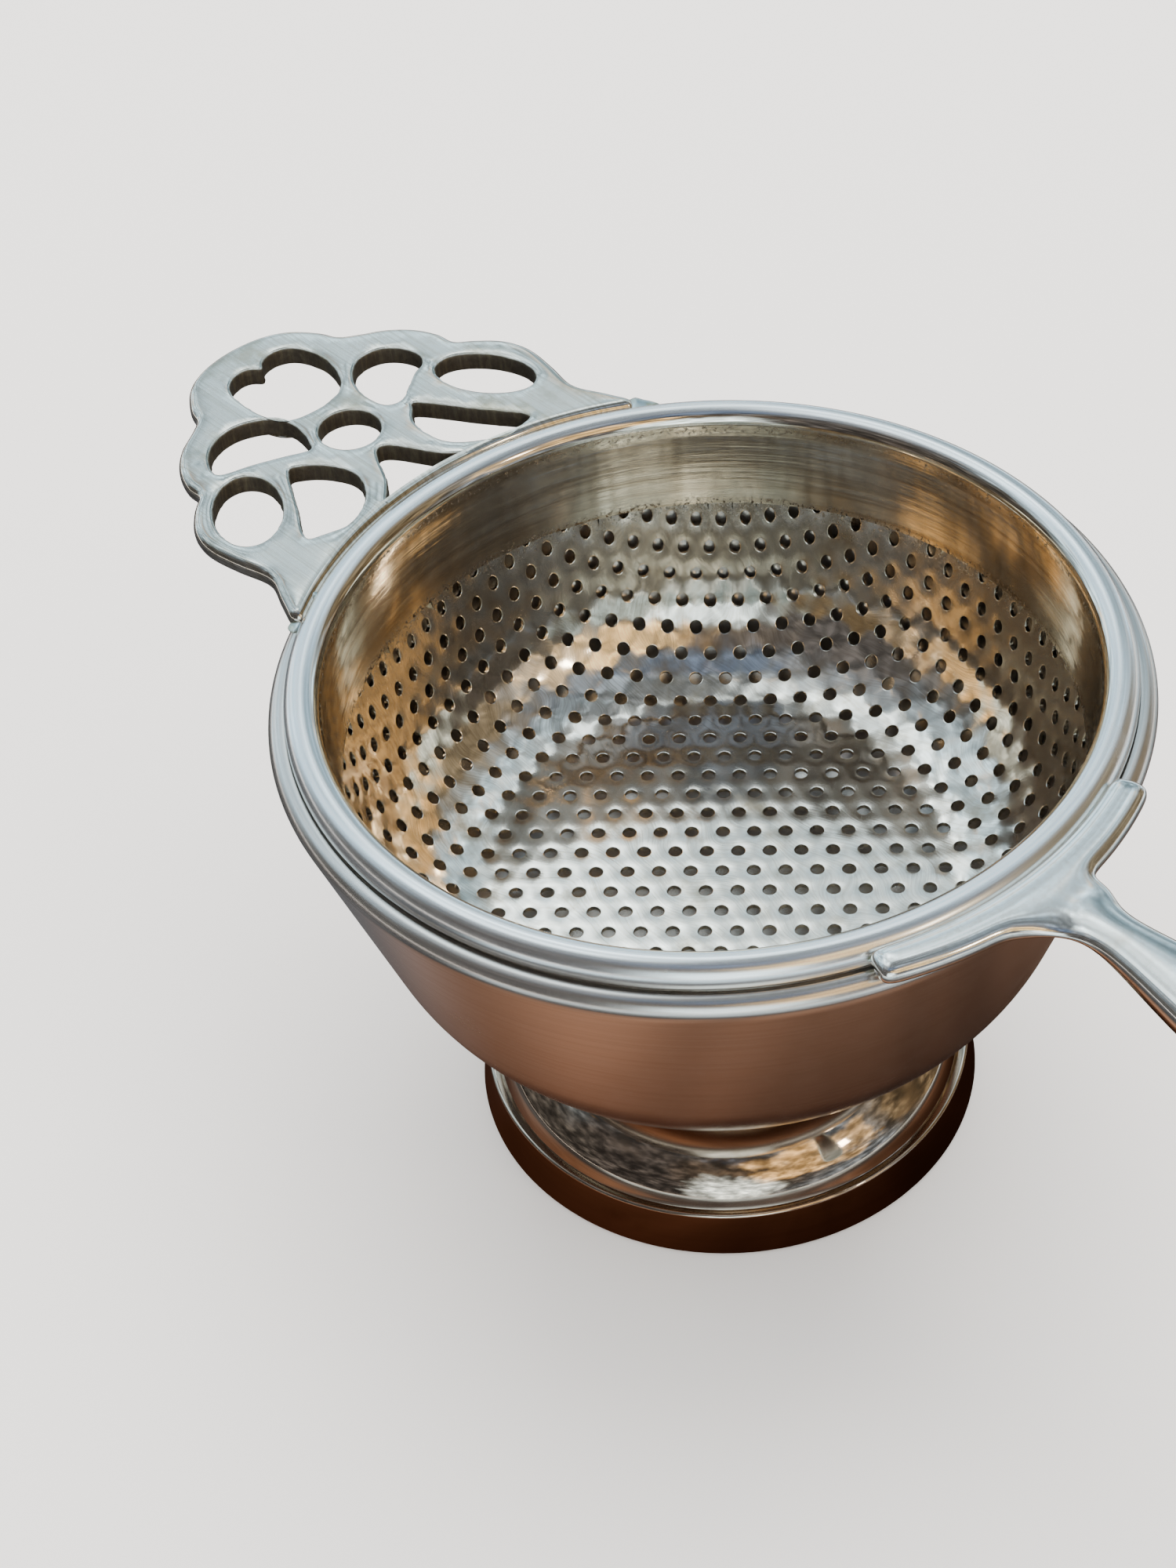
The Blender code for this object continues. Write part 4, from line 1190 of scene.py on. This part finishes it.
@dataclass
class DripBowl:
    """Deep bowl under the strainer, with a rim rolled inwards."""

    collar: Collar
    wall: float = 0.6 * MM
    roll: float = 1.2 * MM
    lip: float = 0.8 * MM
    corner: float = 15.0 * MM
    beside: float = 28.75 * MM
    corner_top: float = 30.55 * MM
    flat_steps: int = 10
    bend_steps: int = 40
    wall_steps: int = 20
    roll_steps: int = 24

    def build(self) -> None:
        """Make the drip bowl."""
        low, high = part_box("drip_bowl")
        radius, top, base = high.x, high.z, low.z
        roll_centre = (radius - self.roll, top - self.roll)
        tilt = math.atan2(radius - self.beside - self.wall, roll_centre[1] - self.corner_top)
        corner_z = base + self.corner
        wall_foot = radius - (roll_centre[1] - corner_z + self.corner * math.sin(tilt)) * math.tan(tilt)
        centre = (wall_foot - self.corner * math.cos(tilt), corner_z)
        bend = arc(centre, self.corner, -90, -math.degrees(tilt), self.bend_steps)
        flat = [(centre[0] * i / self.flat_steps, base) for i in range(self.flat_steps)]
        wall = straight(bend[-1], (radius, roll_centre[1]), self.wall_steps)[1:-1]
        roll = arc(roll_centre, self.roll, 0, 180, self.roll_steps)
        line = [*flat, *bend, *wall, *roll, (roll[-1][0], roll[-1][1] - self.lip)]
        obj = turned("drip_bowl_shell", shell_section(line, self.wall))
        settle(obj, STAND_PLATE, Body.STAND, Slot.POLISHED, "drip_bowl")


@dataclass
class Foot:
    """Hollow foot: flat ring below, upright band, bell-shaped top and neck."""

    wall: float = 0.7 * MM
    band: float = 4.2 * MM
    band_taper: float = 0.6 * MM
    step: float = 0.7 * MM
    flange: float = 2.4 * MM
    neck: float = 8.2 * MM
    edge_round: float = 0.3 * MM
    curve: tuple[Point2, ...] = ((0.0, 0.0), (0.09, 0.17), (0.28, 0.33), (0.53, 0.44), (0.77, 0.57),
                                 (0.94, 0.78), (1.0, 1.0))
    curve_steps: int = 8
    edge_steps: int = 5
    facets: int = 224

    def build(self) -> None:
        """Make the foot."""
        low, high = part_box("stand_foot")
        radius, neck_top = high.x, high.z
        band_top = radius - self.band_taper
        shoulder = band_top - self.step
        bell = [(shoulder - (shoulder - self.neck) * across, self.band + (neck_top - self.band) * up)
                for across, up in self.curve]
        k = self.edge_round
        base = arc((radius - k, low.z + k), k, -90, 0, self.edge_steps)
        top_edge = arc((band_top - k, self.band - k), k, 0, 90, self.edge_steps)
        line = [(radius - self.flange, low.z), *base, *top_edge, *smooth_curve(bell, self.curve_steps)]
        obj = turned("foot_shell", shell_section(line, self.wall), self.facets)
        settle(obj, FOOT_PLATE, Body.STAND, Slot.POLISHED, "stand_foot")


# ---------------------------------------------------------------- studio
@dataclass(frozen=True)
class Glow:
    """A soft patch of the surroundings, which fades from its core to its reach. Angles are in degrees."""

    azimuth: float
    height: float
    core: float
    reach: float
    colour: Colour

    def direction(self) -> Vector:
        """Unit vector towards its middle."""
        a, h = math.radians(self.azimuth), math.radians(self.height)
        return Vector((math.cos(h) * math.cos(a), math.cos(h) * math.sin(a), math.sin(h)))


@dataclass(frozen=True)
class Lamp:
    """A square soft light that faces the object, and shows in the metal if it's glossy."""

    name: str
    place: Colour
    size: float
    power: float
    colour: Colour
    glossy: bool = False

    def build(self) -> None:
        """Hang the lamp."""
        data = bpy.data.lights.new(self.name, "AREA")
        data.size = self.size
        data.energy = self.power
        data.color = self.colour
        light = bpy.data.objects.new(self.name, data)
        light.location = self.place
        light.rotation_euler = (-Vector(self.place)).to_track_quat("-Z", "Y").to_euler()
        light.visible_glossy = self.glossy
        bpy.context.collection.objects.link(light)


LAMPS = (
    Lamp("softbox", (-0.35, 0.45, 1.15), 1.3, 24.0, (1.0, 0.98, 0.95)),
    Lamp("sun_patch", (0.88, 0.19, 0.72), 0.10, 0.9, (1.0, 0.90, 0.74), glossy=True),
)

SKY_STOPS = ((0.0, (1.6, 1.6, 1.6)), (1.0, (1.9, 1.9, 1.9)))
DOME_BASE = (0.37, 0.46, 0.58)
DOME_SKY = (
    Glow(150, 25, 44, 76, (1.25, 1.75, 2.15)),
    Glow(-110, 60, 8, 34, (0.42, 0.50, 0.60)),
)
DOME_TREES = (
    Glow(-85, 20, 34, 54, (0.14, 0.135, 0.14)),
    Glow(-132, 10, 20, 34, (0.15, 0.15, 0.15)),
    Glow(-30, 32, 16, 38, (0.22, 0.18, 0.14)),
    Glow(60, 25, 22, 38, (0.32, 0.26, 0.17)),
    Glow(-44, 18, 12, 24, (2.70, 3.30, 3.60)),
    Glow(116, 26, 8, 18, (0.30, 0.48, 0.60)),
    Glow(-37, 70, 8, 18, (0.20, 0.28, 0.44)),
    Glow(-13, 39, 10, 20, (2.60, 1.78, 0.82)),
    Glow(14, 34, 6, 16, (1.60, 1.20, 0.70)),
    Glow(150, 66, 11, 23, (2.60, 3.10, 3.40)),
    Glow(100, 80, 8, 15, (0.26, 0.30, 0.34)),
)
LEAF_SCALE, LEAF_SPREAD = 3.6, 0.25             # how fine and how ragged the patches' edges are
GOLD = (1.60, 1.00, 0.36)                       # sunlit leaves among the patches
GOLD_SCALE, GOLD_RANGE, GOLD_SHARE = 6.0, (0.59, 0.66), 0.6
SHADE_SCALE, SHADE_RANGE, SHADE_GAIN, SHADE_LEAST = 9.0, (0.34, 0.68), 2.1, 0.25

# the table, by distance from the object as a share of its reach: the dark stops near the foot are a painted
# shadow of the object
TABLE_REACH = 200.0 * MM
TABLE_SHADOW_STOPS = ((0.10, (0.030, 0.010, 0.005)), (0.135, (0.075, 0.030, 0.016)), (0.19, (0.28, 0.145, 0.09)),
               (0.25, (0.36, 0.20, 0.13)), (0.33, (0.18, 0.15, 0.14)), (0.50, (0.22, 0.22, 0.23)),
               (0.86, (1.10, 1.35, 1.50)))
SIDE_COLOUR = (0.17, 0.175, 0.19)               # its paler side, away from the handle
SIDE_RANGE, SIDE_FROM = (0.008, 0.034), (0.10, 0.18)
GRAIN_SCALE, GRAIN_LEAST, GRAIN_GAIN = (30.0, 110.0, 1.0), 0.25, 1.5
PATCH_SCALE, PATCH_RANGE, PATCH_LEAST, PATCH_GAIN = 14.0, (0.35, 0.68), 0.45, 1.45


@dataclass
class Studio:
    """Camera, plain pale floor, soft light, and cards that only the metal sees."""

    eye: Vector = Vector((124.07, -111.72, 195.84)) * MM
    aim: Vector = Vector((-8.51, -5.72, 30.9)) * MM
    roll: float = math.radians(-5.36)
    lens: float = 68.77
    sensor: float = 36.0
    near: float = 0.005
    floor_size: float = 6.0
    floor_drop: float = 0.1 * MM
    floor_colour: tuple[float, ...] = (0.93, 0.90, 0.87, 1.0)
    table_size: float = 0.9
    table_lift: float = 0.05 * MM
    dome_radius: float = 1.5
    dome_sides: int = 48
    dome_rows: int = 16
    dome_top: float = 88.0

    def build(self) -> None:
        """Set up everything that isn't the object."""
        self._camera()
        self._world()
        self._floor()
        for lamp in LAMPS:
            lamp.build()
        self._table()
        self._dome()

    def _camera(self) -> None:
        """Camera at the object's three-quarter view from above."""
        data = bpy.data.cameras.new("camera")
        data.lens = self.lens
        data.sensor_width = self.sensor
        data.clip_start = self.near
        camera = bpy.data.objects.new("camera", data)
        camera.location = self.eye
        look = (self.aim - self.eye).to_track_quat("-Z", "Y").to_matrix()
        camera.rotation_euler = (look @ Matrix.Rotation(self.roll, 3, "Z")).to_euler()
        bpy.context.collection.objects.link(camera)
        bpy.context.scene.camera = camera

    @staticmethod
    def _world() -> None:
        """Pale light from all around, a little brighter towards the zenith."""
        world = bpy.data.worlds.new("studio")
        world.use_nodes = True
        graph = Graph(world.node_tree)
        direction = graph.add("ShaderNodeTexCoord", output="Generated")
        up = Wire(graph, graph.add("ShaderNodeSeparateXYZ", {}, {0: direction}).socket.node.outputs[2])
        sky = graph.add("ShaderNodeValToRGB", {"stops": SKY_STOPS}, {"Fac": up}, "Color")
        world.node_tree.links.new(sky.socket, world.node_tree.nodes["Background"].inputs["Color"])
        bpy.context.scene.world = world

    @staticmethod
    def _plane(name: str, size: float, height: float) -> bpy.types.Object:
        """A level square that faces up."""
        draft = Draft()
        corners = ((-1, -1), (1, -1), (1, 1), (-1, 1))
        ring = [draft.point((x * size / 2, y * size / 2, height)) for x, y in corners]
        draft.faces.append(tuple(ring))
        obj = draft.object(name)
        if obj.data.polygons[0].normal.z < 0:
            obj.data.flip_normals()
        return obj

    def _floor(self) -> None:
        """Plain pale floor."""
        material = bpy.data.materials.new("pale_floor")
        material.use_nodes = True
        shader = material.node_tree.nodes["Principled BSDF"]
        shader.inputs["Base Color"].default_value = self.floor_colour
        shader.inputs["Roughness"].default_value = 0.85
        shader.inputs["Specular IOR Level"].default_value = 0.1
        self._plane("floor", self.floor_size, -self.floor_drop).data.materials.append(material)

    @staticmethod
    def _card(obj: bpy.types.Object, material: bpy.types.Material) -> None:
        """Make a card that shows in the metal only."""
        obj.data.materials.append(material)
        obj.visible_camera = False
        obj.visible_diffuse = False
        obj.visible_shadow = False
        obj.visible_transmission = False

    @staticmethod
    def _glow(name: str) -> tuple[bpy.types.Material, Graph, bpy.types.NodeSocket]:
        """A material that only glows, with its graph and the socket that takes its colour."""
        material = bpy.data.materials.new(name)
        material.use_nodes = True
        graph = Graph(material.node_tree)
        material.node_tree.nodes.remove(material.node_tree.nodes["Principled BSDF"])
        glow = graph.add("ShaderNodeEmission")
        material.node_tree.links.new(glow.socket, material.node_tree.nodes["Material Output"].inputs[0])
        return material, graph, glow.socket.node.inputs["Color"]

    def _table(self) -> None:
        """A brown table below, which only the metal mirrors: dark near the foot with a painted shadow of the
        object, and paler further out.
        """
        table, graph, target = self._glow("table_card")
        place = graph.add("ShaderNodeTexCoord", output="Object")
        parts = graph.add("ShaderNodeSeparateXYZ", {}, {0: place}).socket.node
        x, y = Wire(graph, parts.outputs[0]), Wire(graph, parts.outputs[1])
        radius = (x * x + y * y).math("SQRT") / TABLE_REACH
        # painted shadow of the object near the foot, then the paler table further out
        colour = graph.add("ShaderNodeValToRGB", {"stops": TABLE_SHADOW_STOPS}, {"Fac": radius}, "Color")
        side = graph.ramp(x * -1.0, *SIDE_RANGE) * graph.ramp(radius, *SIDE_FROM)
        colour = graph.blend(side, colour, SIDE_COLOUR)
        stretched = graph.add("ShaderNodeMapping", {}, {"Vector": place, "Scale": GRAIN_SCALE})
        grain = graph.noise(stretched, 1.0, 5.0)
        patches = graph.ramp(graph.noise(place, PATCH_SCALE, 2.0), *PATCH_RANGE)
        shade = (GRAIN_LEAST + grain * GRAIN_GAIN) * (PATCH_LEAST + patches * patches * PATCH_GAIN)
        graph.tree.links.new(self._shaded(graph, colour, shade).socket, target)
        self._card(self._plane("table_card", self.table_size, self.table_lift), table)

    def _dome(self) -> None:
        """Trees and sky around, which only the metal mirrors."""
        dome, graph, target = self._glow("dome_card")
        place = graph.add("ShaderNodeTexCoord", output="Object")
        direction = graph.add("ShaderNodeVectorMath", {"operation": "NORMALIZE"}, {0: place})
        leaves = (graph.noise(direction, LEAF_SCALE, 5.0, 0.62) - WEAR_AND_PAINTED_LIGHT.middle) * LEAF_SPREAD
        colour: Wire | Colour = DOME_BASE
        for glow in DOME_SKY:
            colour = self._with_glow(graph, colour, glow, direction, leaves)
        sunlit = graph.ramp(graph.noise(direction, GOLD_SCALE, 4.0, 0.6), *GOLD_RANGE) * GOLD_SHARE
        colour = graph.blend(sunlit, colour, GOLD)
        for glow in DOME_TREES:
            colour = self._with_glow(graph, colour, glow, direction, leaves)
        contrast = graph.ramp(graph.noise(direction, SHADE_SCALE, 5.0, 0.68), *SHADE_RANGE)
        colour = self._shaded(graph, colour, contrast * contrast * SHADE_GAIN + SHADE_LEAST)
        graph.tree.links.new(colour.socket, target)
        draft = Draft()
        turns = [2 * math.pi * k / self.dome_sides for k in range(self.dome_sides)]
        rows = [[draft.point((r * math.cos(a), r * math.sin(a), z)) for a in turns]
                for r, z in arc((0, 0), self.dome_radius, 0, self.dome_top, self.dome_rows)]
        for here, there in zip(rows, rows[1:]):
            draft.strip(here, there)
        draft.faces.append(tuple(rows[-1]))
        self._card(draft.object("dome"), dome)

    @staticmethod
    def _with_glow(graph: Graph, colour: Wire | Colour, glow: Glow, direction: Wire, leaves: Wire) -> Wire:
        """A dome colour with one more patch, whose edge is ragged like leaves."""
        near = graph.add("ShaderNodeVectorMath", {"operation": "DOT_PRODUCT"},
                         {0: direction, 1: glow.direction()}, "Value")
        limits = (math.cos(math.radians(glow.reach)), math.cos(math.radians(glow.core)))
        return graph.blend(graph.ramp(near + leaves, *limits), colour, glow.colour)

    @staticmethod
    def _shaded(graph: Graph, colour: Wire, amount: Wire) -> Wire:
        """A colour times a grey value."""
        grey = graph.add("ShaderNodeCombineXYZ", {}, dict.fromkeys(range(3), amount))
        return graph.add("ShaderNodeVectorMath", {"operation": "MULTIPLY"}, {0: colour, 1: grey})


# ---------------------------------------------------------------- the whole
EAR_BEAD_ARC = (21.5, 37.0)         # degrees from the ear's middle
HANDLE_BEAD_START = 1.5             # degrees from the handle's middle


def solder_beads(collar: Collar) -> list[SolderBead]:
    """Every visible bead of solder."""
    rim, top = collar.rim_radius, collar.top
    beads = []
    for side, name, arm in ((1, "left", 20.5), (-1, "right", 24.5)):
        ends = sorted(180 + side * angle for angle in EAR_BEAD_ARC)
        beads.append(SolderBead(f"ear_bead_{name}", (f"ear_solder_{name}",), Body.STRAINER,
                                rim + 0.35 * MM, top - 1.05 * MM, *ends, width=1.15 * MM, rise=0.62 * MM,
                                seed=3.0 * side))
        ends = sorted((side * HANDLE_BEAD_START, side * arm))
        beads.append(SolderBead(f"handle_bead_{name}", (f"handle_solder_{name}",), Body.STRAINER,
                                rim + 0.1 * MM, top - 1.15 * MM, *ends, width=0.5 * MM, rise=0.5 * MM,
                                lumps=0.2, seed=7.0 * side))
    low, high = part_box("bowl_seam_solder")
    beads.append(SolderBead("seam_bead", ("bowl_seam_solder",), Body.STRAINER, high.x - 0.25 * MM,
                            (low.z + high.z) / 2 - 0.25 * MM, 0, 360, width=0.45 * MM, rise=0.4 * MM,
                            steps=240, sides=10))
    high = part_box("foot_solder")[1]
    beads.append(SolderBead("foot_bead", ("foot_solder",), Body.STAND, high.x - 0.8 * MM,
                            high.z - 0.35 * MM, 0, 360, width=0.8 * MM, rise=0.5 * MM, lumps=0.2,
                            steps=120, sides=12))
    return beads


def main() -> None:
    """Build the studio and every piece."""
    logging.basicConfig(level=logging.INFO, format="%(name)s: %(message)s")
    Studio().build()
    collar = Collar()
    for part in (collar, PiercedBowl(collar), Ear(collar), Handle(collar), DripBowl(collar), Foot(),
                 *solder_beads(collar)):
        part.build()


if __name__ == "__main__":
    main()
